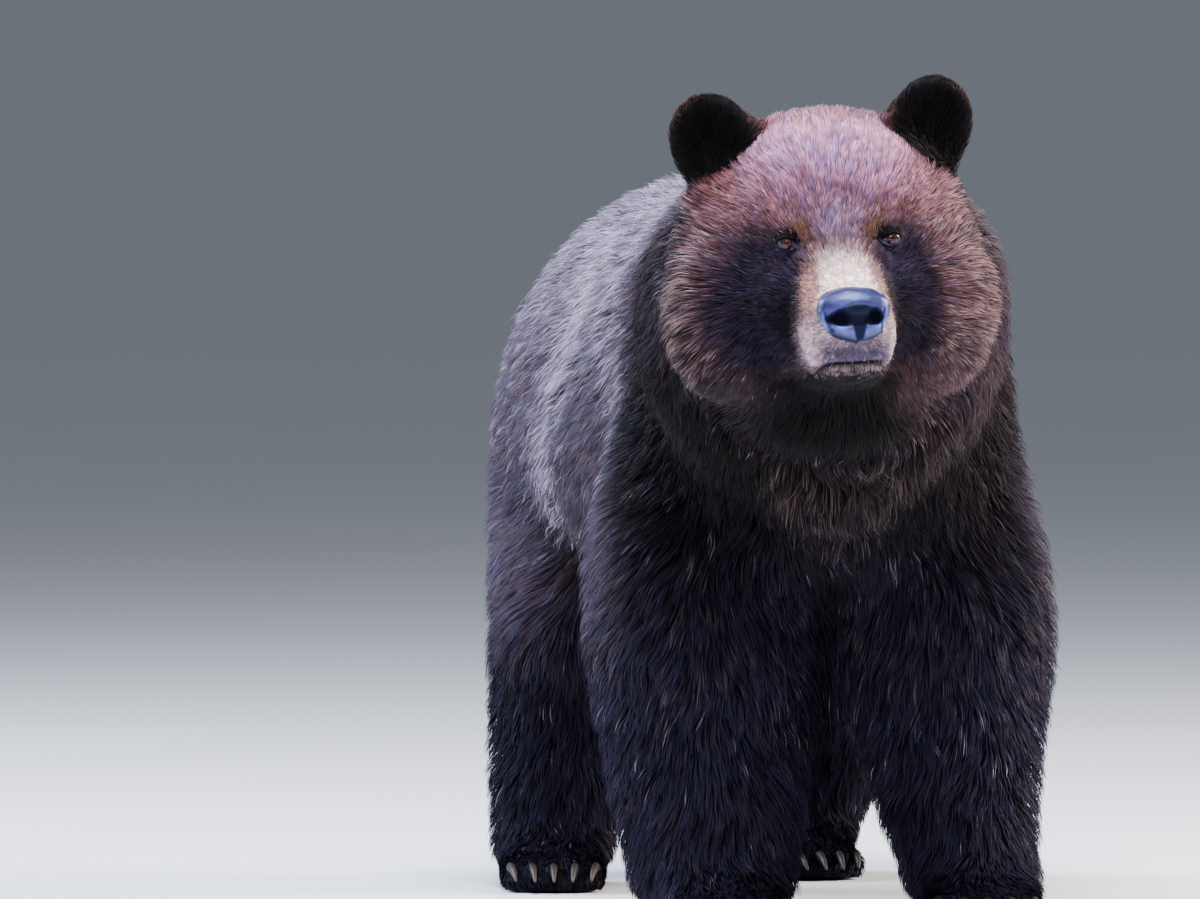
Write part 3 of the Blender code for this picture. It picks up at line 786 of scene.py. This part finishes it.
def dressSkin():
    mesh = skin.data
    places, normals = getPlaces(mesh), getNormals(mesh)
    parts = findParts(places)
    storeColour(mesh, coatColour(places, normals) * dressing["shade"])
    tri = getTriangles(mesh)
    part = parts[tri]
    same = np.where(part[:, 1] == part[:, 2], part[:, 1], part[:, 0])
    flat = np.stack([unwrapped(places[tri[:, k]], same) for k in range(3)], 1)
    torn = np.ptp(flat[:, :, 0], axis=1) > dressing["torn"]  # a face across a seam takes its first corner's place
    flat[torn] = flat[torn][:, :1]
    storeFlat(mesh, flat)
    finishMesh(mesh, makeCoatMaterial("bear_skin"))
    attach(skin, "root")
    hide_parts(*fleshNodes)
    return places, normals, parts


skinPlaces, skinNormals, skinParts = dressSkin()
print("skin dressed")


# the coat: thin curved blades that follow the lie of the hair, gathered into tufts

coatSizes = {
    "seed": 11, "share": 1.07, "noise": 0.19, "strayShare": 0.1, "rootSink": 0.0012, "perTuft": 9, "tuftReach": 0.03,
    "sole": 0.0015, "lowest": 0.0008, "patch": 0.003, "pieceLimit": 195000, "warmth": (0.3, 0.0, -0.4), "mixing": 0.2,
    "arch": 0.27, "rootShade": 0.4, "roll": 0.55, "shortHair": 0.021, "toes": 0.035, "shoulderEnd": 0.08,
}


def inRows(*columns):
    return np.stack(np.broadcast_arrays(*columns), 1)


def coatFlow(places, normals):
    # the way the hair lies: back from the nose, down the sides and legs, forward over the toes
    q = toHead(places)
    x, y, z = places.T
    nx, ny, nz = normals.T
    side = np.clip(x / 0.11, -1, 1)
    away = unit(q - [0, -0.175, -0.105])
    away[:, 2] -= 0.25 * ramp(0.02, -0.12, q[:, 2]) + 0.35 * ramp(0.09, 0.17, abs(q[:, 0]))
    frontal = ramp(0.2, 0.8, -ny)
    neckWay = mixed(inRows(0.15 * side, 0.45 + 0.9 * ramp(0.3, 0.9, nz), -0.8 * abs(side)), [0, -0.05, -1.0], frontal)
    neckWay[:, 0] += 0.3 * frontal * np.sign(x + 0.02) * ramp(0, 0.1, abs(x + 0.02))
    bodyWay = inRows(0.35 * side, 0.75, -0.75 * abs(side) * (1 - 0.5 * ramp(0.3, 0.9, nz)))
    legWay = inRows(nx * 0.35, 0.1 + ny * 0.25, -1.0)
    way = layered(bodyWay, [(neckWay, neckShare(places)), (legWay, legShare(places)),
                            ([0, -0.9, -0.5], fall(0.04, 0.075, z)), (away @ headAxes, headShare(places))])
    for centre in earPlaces.values():
        root = centre + [-np.sign(centre[0]) * 0.02, 0.005, -0.055]
        way = mixed(way, unit(q - root) @ headAxes, fall(0.055, 0.08, lengths(q - centre)))
    way = mixed(way, [0, 0.2, -1.0], fall(0.05, 0.1, lengths(places - tailCentre)))
    for k in range(3):
        way[:, k] += coatSizes["noise"] * (ripple(places, 0.1, 20 + k) + 0.9 * ripple(places, 0.035, 30 + k))
    way -= normals * np.sum(way * normals, 1, keepdims=True)
    return unit(way)


def sowRoots():
    # roots spread over the skin, as dense as each part's hair
    tri = getTriangles(skin.data)
    a, b, c = (skinPlaces[tri[:, k]] for k in range(3))
    area = 0.5 * lengths(np.cross(b - a, c - a))
    middle = (a + b + c) / 3
    facing = unit(skinNormals[tri].sum(1))
    density = hairAt(middle, facing, "count") * 1e4 * coatSizes["share"]
    q, x, y, z = headParts(middle)
    density *= ramp(0.0315, 0.0345, lengths((q - noseCentre) / [1.15, 1.0, 0.95]))
    for side in (1, -1):
        across, up, out = eyeAxes(side)
        ray = q - [side * eyeHalfSpacing, 0, 0]
        opening = np.hypot(ray @ across / 0.012, ray @ up / 0.008)
        density *= np.where((ray @ out > -0.01) & (abs(ray @ out) < 0.03), ramp(0.95, 1.15, opening), 1)
    density *= np.where((middle[:, 2] < 0.006) & (facing[:, 2] < -0.4), 0, 1)
    mouthGap = abs(z - mouthHeight(x, y))
    density *= np.where((y < -0.05) & (x < 0.06), ramp(0.0002, 0.0015, mouthGap), 1)
    weight = np.cumsum(area * density)
    count = int(weight[-1])
    chance = np.random.default_rng(coatSizes["seed"])
    picked = np.searchsorted(weight, (np.arange(count) + chance.random(count)) / count * weight[-1])
    picked = np.clip(picked, 0, len(tri) - 1)
    u, v = chance.random(count), chance.random(count)
    over = u + v > 1
    u[over], v[over] = 1 - u[over], 1 - v[over]
    u, v = u[:, None], v[:, None]
    first, second, third = tri[picked].T
    places, normals = (values[first] * (1 - u - v) + values[second] * u + values[third] * v
                       for values in (skinPlaces, skinNormals))
    return places, unit(normals), skinParts[first], chance


def nearest(points, targets):
    # the number of the point nearest to each target
    tree = KDTree(len(points))
    for k, point in enumerate(points):
        tree.insert(point, k)
    tree.balance()
    return np.array([tree.find(target)[1] for target in targets])


def growBlades():
    roots, normals, parts, chance = sowRoots()
    count = len(roots)
    print("roots sown:", count)
    flow = coatFlow(roots, normals)
    length = hairAt(roots, normals, "length") * chance.uniform(0.72, 1.18, count)
    wander = chance.normal(size=(count, 3)) * 0.1
    way = unit(flow + wander - normals * np.sum(wander * normals, 1, keepdims=True))
    height = hairAt(roots, normals, "depth") * chance.uniform(0.62, 1.02, count)
    stray = chance.random(count) < coatSizes["strayShare"]
    height = np.where(stray, height * 1.12 + 0.001, height)
    height = np.minimum(height, length * 0.86)
    reach = np.sqrt(np.maximum(length**2 - height**2, (0.3 * length) ** 2))
    tips = roots + way * reach[:, None]
    under = nearest(skinPlaces, tips)
    tipNormals = skinNormals[under]
    above = np.sum((tips - skinPlaces[under]) * tipNormals, 1)
    tips += tipNormals * (height - above)[:, None]
    # tufts: each blade leans towards its tuft's own tip
    heads = np.sort(chance.choice(count, count // coatSizes["perTuft"], replace=False))
    mine = heads[nearest(roots[heads], roots)]
    lean = tips[mine] - tips + (roots - roots[mine]) * 0.3
    lean[lengths(roots - roots[mine]) > coatSizes["tuftReach"]] = 0
    tips += lean * hairAt(roots, normals, "pull")[:, None]
    keepAbove(tips, coatSizes["sole"])
    width = hairAt(roots, normals, "width") * chance.uniform(0.75, 1.2, count)
    tone = (0.75 + 0.5 * chance.random(count)) * (0.66 + 0.68 * chance.random(count)[mine])
    tone = tone ** (1 + 0.5 * headShare(roots))
    return dict(roots=roots, normals=normals, parts=parts, tips=tips, tipNormals=tipNormals, height=height,
                width=width, tone=tone, chance=chance, mine=mine, length=length)


blades = growBlades()
print("blades grown")


tipShares = {"body": 0.3, "back": 0.25, "neck": 0.12, "ruff": 0.46, "legs": 0.05, "forelegs": 0.2, "head": 0.36,
             "crown": 0.28, "cheek": 0.24, "leftCheek": 0.34}


def tipsOnHead(q, x, y, z):
    share = tipShares["head"] + tipShares["crown"] * ramp(0.08, 0.15, z) + tipShares["cheek"] * ramp(0.09, 0.16, x)
    # painted light: more pale tips on the left cheek's lower rim
    share += tipShares["leftCheek"] * ramp(0.095, 0.12, q[:, 0]) * between(-0.25, -0.07, 0.04, z)
    share *= (1 - maskShare(q, x, y, z)) * ramp(-0.21, -0.06, z) * (1 - 0.5 * ramp(0.06, 0.14, y))
    share *= 1 - 0.9 * fall(-0.155, -0.14, z) * fall(0.05, 0.08, x)
    return share * ramp(0.018, 0.034, np.hypot(x - eyeHalfSpacing, z))


def tipColours(places, stray, normals, base, chance, mine):
    # pale, worn tips: most on the crown, cheeks, neck and back, few on the legs; more where the fur faces up, partly
    # as painted top light, and painted highlight in the flank's bands
    q, x, y, z = headParts(places)
    head, neck, band = headShare(places), neckShare(places), sheenBandShare(places + stray, normals)
    # more where the fur faces up: partly the coat's grizzled back, partly painted top light
    share = tipShares["body"] + tipShares["back"] * ramp(0.0, 0.8, normals[:, 2])
    share += (tipShares["neck"] - share) * neck
    share *= ramp(0.42, 0.66, places[:, 2])
    ruff = ramp(-0.1, 0.4, -normals[:, 1]) * fall(0.62, 0.74, places[:, 2]) * (1 - head)
    # fewer pale tips in the painted shade of the hollow under the right cheek
    share += (tipShares["ruff"] * bibShare(places) * (1 - 0.7 * hollowShadeShare(places, normals)) - share) * ruff
    brown = ramp(0.2, 0.8, -normals[:, 1]) * between(0.2, 0.56, 0.14, places[:, 2]) * (places[:, 1] < 0)
    inFront = tipShares["forelegs"] * brown * (1 - bell(places[:, 0], -0.006, 0.04))
    share += tipShares["legs"] * legShare(places) + inFront + band
    share += (tipsOnHead(q, x, y, z) - share) * head
    share *= 1 - earShare(places)
    picked = (0.45 * chance.random(len(places)) + 0.55 * chance.random(len(places))[mine]) < share
    onCheek = ramp(0.08, 0.13, x) * fall(0.06, 0.12, z)
    tip = paint(coatColours["paleTip"], [("cheekTip", onCheek)])
    tip = mixed(tip, tip * [0.84, 0.66, 0.66], ramp(0.07, 0.13, z))
    # the bands' tips take the pale colour of the painted highlight
    tip = paint(tip, [("greyTip", 1 - head), ("ruffTip", np.maximum(neck, brown) * (1 - head)), ("sheenBandTip", band)])
    return mixed(base * 1.3, tip, picked * chance.uniform(0.35, 0.95, len(places)))


# a long blade has two bends and a short one has one: the levels along it, and its share of the full width at each
bladeKinds = {
    "long": {"levels": (0.0, 0.32, 0.68, 1.0), "widths": (1.0, 0.92, 0.62)},
    "short": {"levels": (0.0, 0.5, 1.0), "widths": (1.0, 0.8)},
}


def bladeRows(kind, these, side, base, tip):
    # the corners, colours and patch places of one kind of blade, and the faces of a single one
    levels, widths = bladeKinds[kind]["levels"], bladeKinds[kind]["widths"]
    roots, normals, tips, tipNormals, height, width, tone = (
        blades[key][these] for key in ("roots", "normals", "tips", "tipNormals", "height", "width", "tone"))
    start = roots - normals * coatSizes["rootSink"]
    arch = height[:, None] * coatSizes["arch"] * unit(normals + tipNormals)
    rows, colours, places = [], [], []
    for k, level in enumerate(levels):
        middle = start * (1 - level) + tips * level + arch * 4 * level * (1 - level)
        here = np.full(len(roots), level)
        shade = mixed(base[these] * coatSizes["rootShade"], base[these], ramp(0.0, 0.5, here))
        shade = mixed(shade, tip[these], ramp(0.35, 0.95, here)) * tone[:, None]
        if k < len(levels) - 1:
            half = side[these] * (width * widths[k] / 2)[:, None]
            rows += [middle - half, middle + half]
            colours += [shade, shade]
            places += [(0, level), (1, level)]
    rows = np.stack(rows + [middle], 1)
    rows[:, :, 2] = np.maximum(rows[:, :, 2], coatSizes["lowest"])
    places = (np.array(places + [(0.5, 1)]) - 0.5) * coatSizes["patch"]
    last = 2 * len(levels) - 2
    faces = [face for k in range(0, last - 2, 2) for face in ((k, k + 1, k + 3), (k, k + 3, k + 2))]
    return rows, np.stack(colours + [shade], 1), places, np.array(faces + [(last - 2, last - 1, last)])


def makeCoatPieces():
    material = makeCoatMaterial("bear_fur")
    roots, normals, part, chance, mine = (blades[key] for key in ("roots", "normals", "parts", "chance", "mine"))
    stray = chance.normal(size=roots.shape) * blades["length"][:, None] * coatSizes["mixing"]
    warmth = (chance.random(len(roots))[mine] - 0.5)[:, None]
    base = coatColour(roots + stray, normals) * (1 + warmth * np.array(coatSizes["warmth"]))
    tip = tipColours(roots, stray * 2, normals, base, chance, mine)
    flat = unwrapped(roots, part)
    along = unit(blades["tips"] - roots)
    side = unit(np.cross(along, unit(normals + blades["tipNormals"])))
    roll = chance.normal(0, coatSizes["roll"], len(roots))[:, None]
    side = unit(side * np.cos(roll) + np.cross(side, along) * np.sin(roll))

    def inParts(*names):
        return np.isin(part, [partNames.index(name) for name in names])

    x, y, z = roots.T
    short = inParts("head", "ear_left", "ear_right") & (blades["length"] < coatSizes["shortHair"])
    short |= z < coatSizes["toes"]
    groups = {"coat_head": inParts("head"), "coat_ears": inParts("ear_left", "ear_right"),
              "coat_neck": inParts("neck"), "coat_tail": inParts("tail")}
    ahead = y < coatSizes["shoulderEnd"]
    for label, where in (("_left", x >= 0), ("_right", x < 0)):
        groups["coat_shoulder" + label] = inParts("trunk") & where & ahead
        groups["coat_flank" + label] = inParts("trunk") & where & ~ahead
        groups["coat_foreleg" + label] = inParts("foreleg" + label, "forepaw" + label)
        groups["coat_hindleg" + label] = inParts("hindleg" + label, "hindpaw" + label)
    total = 0
    for name, wanted in groups.items():
        faces = int((wanted * np.where(short, 3, 5)).sum())
        pieces = math.ceil(faces / coatSizes["pieceLimit"])
        order = np.flatnonzero(wanted)
        order = order[np.argsort(z[order])]
        for k in range(pieces):
            these = order[k * len(order) // pieces:(k + 1) * len(order) // pieces]
            byKind = {"long": these[~short[these]], "short": these[short[these]]}
            kinds = [(*bladeRows(kind, picked, side, base, tip), flat[picked])
                     for kind, picked in byKind.items() if len(picked)]
            piece = makeBladeMesh(name if pieces == 1 else f"{name}_{k + 1}", kinds)
            total += len(piece.data.polygons)
            finishMesh(piece.data, material)
            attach(piece, "root")
    print("coat triangles:", total)


def makeBladeMesh(name, kinds):
    # one mesh from the blades of both kinds
    corners, rows, colours, spread, start = [], [], [], [], 0
    for bladeCorners, bladeColours, patch, faces, flat in kinds:
        count, each = bladeCorners.shape[:2]
        mine = (faces[None] + (np.arange(count) * each)[:, None, None]).reshape(-1)
        corners.append(mine + start)
        rows.append(bladeCorners.reshape(-1, 3))
        colours.append(bladeColours.reshape(-1, 3))
        spread.append(np.clip(flat[:, None] + patch[None], 0.0005, 0.9995).reshape(-1, 2)[mine])
        start += count * each
    corners = np.concatenate(corners).astype(np.int32)
    mesh = bpy.data.meshes.new(name)
    mesh.vertices.add(start)
    mesh.vertices.foreach_set("co", np.concatenate(rows).astype(np.float32).ravel())
    mesh.loops.add(len(corners))
    mesh.loops.foreach_set("vertex_index", corners)
    mesh.polygons.add(len(corners) // 3)
    mesh.polygons.foreach_set("loop_start", np.arange(0, len(corners), 3, dtype=np.int32))
    mesh.update(calc_edges=True)
    storeColour(mesh, np.concatenate(colours))
    storeFlat(mesh, np.concatenate(spread))
    return makeObject(name, mesh)


makeCoatPieces()
print("coat made")


# eyes

eyeLook = {"cornea": 0.0007, "corneaRadius": 0.008}


def makeEyeMaterial():
    material, tree, shader, where = newMaterial("bear_eye")
    streak = addNode(tree, "TexNoise", {"Vector": where, "Scale": 900.0, "Detail": 3.0})
    edge = addNode(tree, "Math", {0: streak, 1: 0.0006, 2: stored(tree, "ring")}, operation="MULTIPLY_ADD")
    wide = addNode(tree, "Math", {0: edge, 1: 100.0}, operation="MULTIPLY")
    colour = rampOf(tree, wide, [
        (0.1, (0.002, 0.0009, 0.0009)), (0.24, (0.024, 0.007, 0.006)), (0.5, (0.048, 0.014, 0.012)),
        (0.61, (0.016, 0.005, 0.005)), (0.67, (0.003, 0.002, 0.003)), (0.85, (0.06, 0.06, 0.095))])
    setInputs(tree, shader, {"Base Color": colour, "Roughness": 0.16, "Specular IOR Level": 0.02,
                             "Coat Weight": 0.6, "Coat Roughness": 0.03})
    return material


def makeEyes():
    material = makeEyeMaterial()
    for label, side, centre in (("left", 1, eyeLeft), ("right", -1, eyeRight)):
        across, up, out = (axis @ headAxes for axis in eyeAxes(side))
        bpy.ops.object.select_all(action="DESELECT")
        bpy.ops.mesh.primitive_uv_sphere_add(segments=48, ring_count=40, radius=eyeSizes["radius"])
        eye = bpy.context.active_object
        eye.name = "eyeball_" + label
        mesh = eye.data
        places = getPlaces(mesh)
        ring = lengths(places[:, :2])
        bulge = eyeLook["cornea"] * fall(0.0, eyeLook["corneaRadius"], ring) * (places[:, 2] > 0)
        places += unit(places) * bulge[:, None]
        ring = np.where(places[:, 2] > 0, ring, 0.02)
        turned = places[:, :1] * across + places[:, 1:2] * up + places[:, 2:] * out
        setPlaces(mesh, turned + centre)
        storeValue(mesh, "ring", ring)
        if side < 0:
            mesh.flip_normals()
        finishMesh(mesh, material)
        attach(eye, "root")
        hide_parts("eye_" + label)


makeEyes()
print("eyes made")


# nose

noseSizes = {
    "voxel": 0.0011, "smooth": 46, "smoothLast": 5, "grow": 0.0026, "turned": 0.005, "nostrilAt": (0.0205, 0.001),
    "nostrilHalf": (0.0118, 0.0092), "nostrilDepth": 0.017, "undercut": 0.0046, "lobe": 0.0042, "groove": 0.0046,
    "slit": 0.0034, "lean": 0.42, "longer": 0.2,
}


def noseForms(q):
    # how much each place belongs to the nostrils, the dark band, the groove and the side slits
    x, z = abs(q[:, 0] - noseSizes["turned"] * fall(0.022, 0.034, abs(q[:, 0]))), q[:, 2]
    at, half = noseSizes["nostrilAt"], noseSizes["nostrilHalf"]
    u = (x - at[0]) / half[0]
    v = (z - at[1] + 0.14 * half[1] * u * u) / (half[1] * (1 - 0.12 * np.clip(u, -1, 1)))
    away = np.hypot(u, v)
    arch = 0.0158 - 13.0 * x**2
    sill = -0.009 + 5.0 * x**2
    band = ramp(sill - 0.002, sill + 0.002, z) * fall(arch - 0.003, arch + 0.002, z) * fall(0.027, 0.033, x)
    reach = 0.0018 + np.clip((z + 0.0255) / 0.02, 0, 1) * 0.005
    groove = fall(reach, reach + 0.0026, x) * between(-0.027, 0.006, 0.004, z)
    slit = bell(x, 0.0325 + 0.2 * z, 0.0015) * between(-0.018, 0.012, 0.006, z)
    return x, z, away, band, groove, slit


def makeNoseMaterial():
    material, tree, shader, where = newMaterial("bear_nose")
    pebble = addNode(tree, "TexVoronoi", {"Vector": where, "Scale": 700.0})
    cloud = addNode(tree, "TexNoise", {"Vector": where, "Scale": 90.0, "Detail": 4.0})
    # a dark navy, its blue a painted reflection of the sky; the stored value darkens it as painted shade and
    # brightens it as painted highlight, and makes it rougher where dark
    colour = rampOf(tree, cloud, [(0.3, (0.008, 0.0085, 0.025)), (0.7, (0.019, 0.021, 0.082))])
    light = stored(tree, "noseShadeAndHighlight")
    dull = addNode(tree, "MapRange", {"Value": light, "To Min": 1.0, "To Max": 0.4})
    setInputs(tree, shader, {"Base Color": scaled(tree, colour, light), "Roughness": dull,
                             "Specular IOR Level": 0.85, "Specular Tint": (0.4, 0.47, 1.0, 1)})
    addBump(tree, shader, pebble, 0.3, 0.0005)
    return material


def evenOut(nose, rounds):
    applyModifier(nose, "REMESH", mode="VOXEL", voxel_size=noseSizes["voxel"])
    applyModifier(nose, "SMOOTH", factor=0.5, iterations=rounds)


def makeNose():
    nose = copyOfNodes("nose_pad", ["nose"])
    evenOut(nose, noseSizes["smooth"])
    mesh = nose.data
    normals = getNormals(mesh) @ headAxes.T
    q = toHead(getPlaces(mesh)) - noseCentre
    q += normals * noseSizes["grow"]
    # broader at its foot and top and longer below than the plain solid
    q[:, 0] *= 1 + 0.06 * fall(-0.022, -0.004, q[:, 2]) + 0.06 * ramp(0.01, 0.024, q[:, 2])
    q[:, 2] *= 1 + noseSizes["longer"] * fall(-0.02, 0.0, q[:, 2])
    x, z, away, band, groove, slit = noseForms(q)
    front = ramp(0.05, 0.6, -normals[:, 1])
    rimHeight = -0.0205 + 0.28 * np.clip(x - 0.004, 0, 0.03)
    lobe = noseSizes["lobe"] * bell(x, 0.0175, 0.013) * bell(z, rimHeight, 0.0062)
    pit = noseSizes["nostrilDepth"] * np.exp(-(away**2) ** 3.0)
    tuck = noseSizes["lean"] * np.clip(-z - 0.001, 0, 0.05)
    q[:, 1] += (noseSizes["undercut"] * band - lobe + noseSizes["groove"] * groove + pit + tuck) * front
    q -= normals * (noseSizes["slit"] * slit)[:, None]
    setPlaces(mesh, fromHead(q + noseCentre))
    evenOut(nose, noseSizes["smoothLast"])
    q = toHead(getPlaces(nose.data)) - noseCentre
    x, z, away, band, groove, slit = noseForms(q)
    facing = fall(0.0, 0.012, q[:, 1])
    inside = fall(0.85, 1.2, away)
    # painted shade in the nostrils, in the band under the shelf, in the groove and along the side slits
    paintedLight = (1 - 0.985 * inside) * (1 - 0.95 * band * facing) * (1 - 0.93 * groove * facing) * (1 - 0.8 * slit)
    rimHeight = -0.0165 + 0.34 * np.clip(x - 0.004, 0, 0.03)
    # painted highlights along the lobes' upper edges, across the shelf and down the side wing's rim
    paintedHighlight = 6.0 * bell(z, rimHeight - 0.0012, 0.0042) * ramp(0.004, 0.008, x) + bell(z, 0.019 - 9.0 * x**2, 0.004)
    paintedHighlight += 4.0 * bell(x, 0.0355 + 0.2 * z, 0.0012) * between(-0.02, 0.012, 0.008, z)
    paintedLight *= 1 + paintedHighlight * (1 - inside)
    # painted shade under the lobes
    paintedLight *= 1 - 0.8 * fall(rimHeight - 0.012, rimHeight - 0.006, z)
    storeValue(nose.data, "noseShadeAndHighlight", paintedLight)
    finishMesh(nose.data, makeNoseMaterial())
    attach(nose, "root")
    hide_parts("nose")


makeNose()
print("nose made")


# claws

def makeClawMaterial():
    material, tree, shader, where = newMaterial("bear_claw")
    stretched = addNode(tree, "Mapping", {"Vector": where, "Scale": (3.0, 0.25, 3.0)})
    streak = addNode(tree, "TexNoise", {"Vector": stretched, "Scale": 160.0, "Detail": 4.0, "Distortion": 0.4})
    shift = addNode(tree, "Math", {0: streak, 1: 0.35, 2: stored(tree, "reach")}, operation="MULTIPLY_ADD")
    colour = rampOf(tree, shift, [
        (0.15, (0.012, 0.009, 0.008)), (0.6, (0.024, 0.018, 0.014)), (1.0, (0.048, 0.036, 0.028))])
    setInputs(tree, shader, {"Base Color": colour, "Roughness": 0.45, "Specular IOR Level": 0.22})
    addBump(tree, shader, streak, 0.25, 0.0006)
    return material


clawSizes = {"grow": 0.0007, "lowest": 0.0006}


def makeClaws():
    material = makeClawMaterial()
    for nodeName in sorted(name for name in nodes if "claw" in name):
        claw = copyOfNodes(nodeName.replace("claw", "nail"), [nodeName])
        applyModifier(claw, "SUBSURF", levels=2, render_levels=2)
        mesh = claw.data
        normals, places = getNormals(mesh), getPlaces(mesh)
        places += normals * clawSizes["grow"]
        keepAbove(places, clawSizes["lowest"])
        setPlaces(mesh, places)
        reach = 1 - (places[:, 1] - places[:, 1].min()) / np.ptp(places[:, 1])
        storeValue(mesh, "reach", reach)
        finishMesh(mesh, material)
        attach(claw, "root")
        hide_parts(nodeName)


makeClaws()
print("claws made")


# floor and light

floorLook = {"size": 3000.0, "colour": (0.8, 0.8, 0.79)}
skyLook = {"colour": (0.76, 0.85, 1.0), "strength": 0.25, "horizon": 0.786}
# each light's place, aim, size, power and colour
lights = {
    "top_light": ((-0.3, -1.6, 4.6), (0, -0.5, 0.7), 2.4, 580, (0.84, 0.89, 1.0)),
    "left_light": ((-4.0, 2.2, 3.6), (0, 0.1, 0.7), 3.0, 700, (0.63, 0.73, 1.0)),
    "right_light": ((4.6, 0.2, 2.8), (0, -0.5, 0.7), 2.2, 620, (1.0, 0.88, 0.87)),
    "front_light": ((-1.2, -8.0, 4.6), (0, -0.5, 0.6), 2.0, 250, (0.94, 0.94, 1.0)),
}


def makeFloor():
    bpy.ops.object.select_all(action="DESELECT")
    bpy.ops.mesh.primitive_plane_add(size=floorLook["size"], location=(0, 0, 0))
    floor = bpy.context.active_object
    floor.name = "floor"
    material, tree, shader, where = newMaterial("studio_floor")
    cloud = addNode(tree, "TexNoise", {"Vector": where, "Scale": 3.0, "Detail": 3.0})
    colour = floorLook["colour"]
    setInputs(tree, shader, {"Base Color": rampOf(tree, cloud, [(0.3, [v * 0.99 for v in colour]), (0.7, colour)]),
                             "Roughness": 0.9, "Specular IOR Level": 0.0})
    floor.data.materials.append(material)


def makeLights():
    for name, (place, aim, size, power, colour) in lights.items():
        lamp = bpy.data.lights.new(name, "AREA")
        lamp.shape = "DISK"
        lamp.size, lamp.energy, lamp.color = size, power, colour
        light = makeObject(name, lamp)
        light.location = place
        light.rotation_euler = (Vector(aim) - Vector(place)).to_track_quat("-Z", "Y").to_euler()


def makeSky():
    # an even, pale sky that darkens to the floor's own tone at the horizon, so no line shows there
    world = bpy.data.worlds.new("studio")
    world.use_nodes = True
    tree = world.node_tree
    height = addNode(tree, "SeparateXYZ", {"Vector": addNode(tree, "TexCoord", output="Generated")}, output="Z")
    rise = addNode(tree, "MapRange", {"Value": height, "From Max": 0.5, "To Min": skyLook["horizon"]})
    setInputs(tree, tree.nodes["Background"], {"Color": scaled(tree, skyLook["colour"], rise),
                                               "Strength": skyLook["strength"]})
    scene.world = world


makeFloor()
makeLights()
makeSky()
print("floor and lights placed")
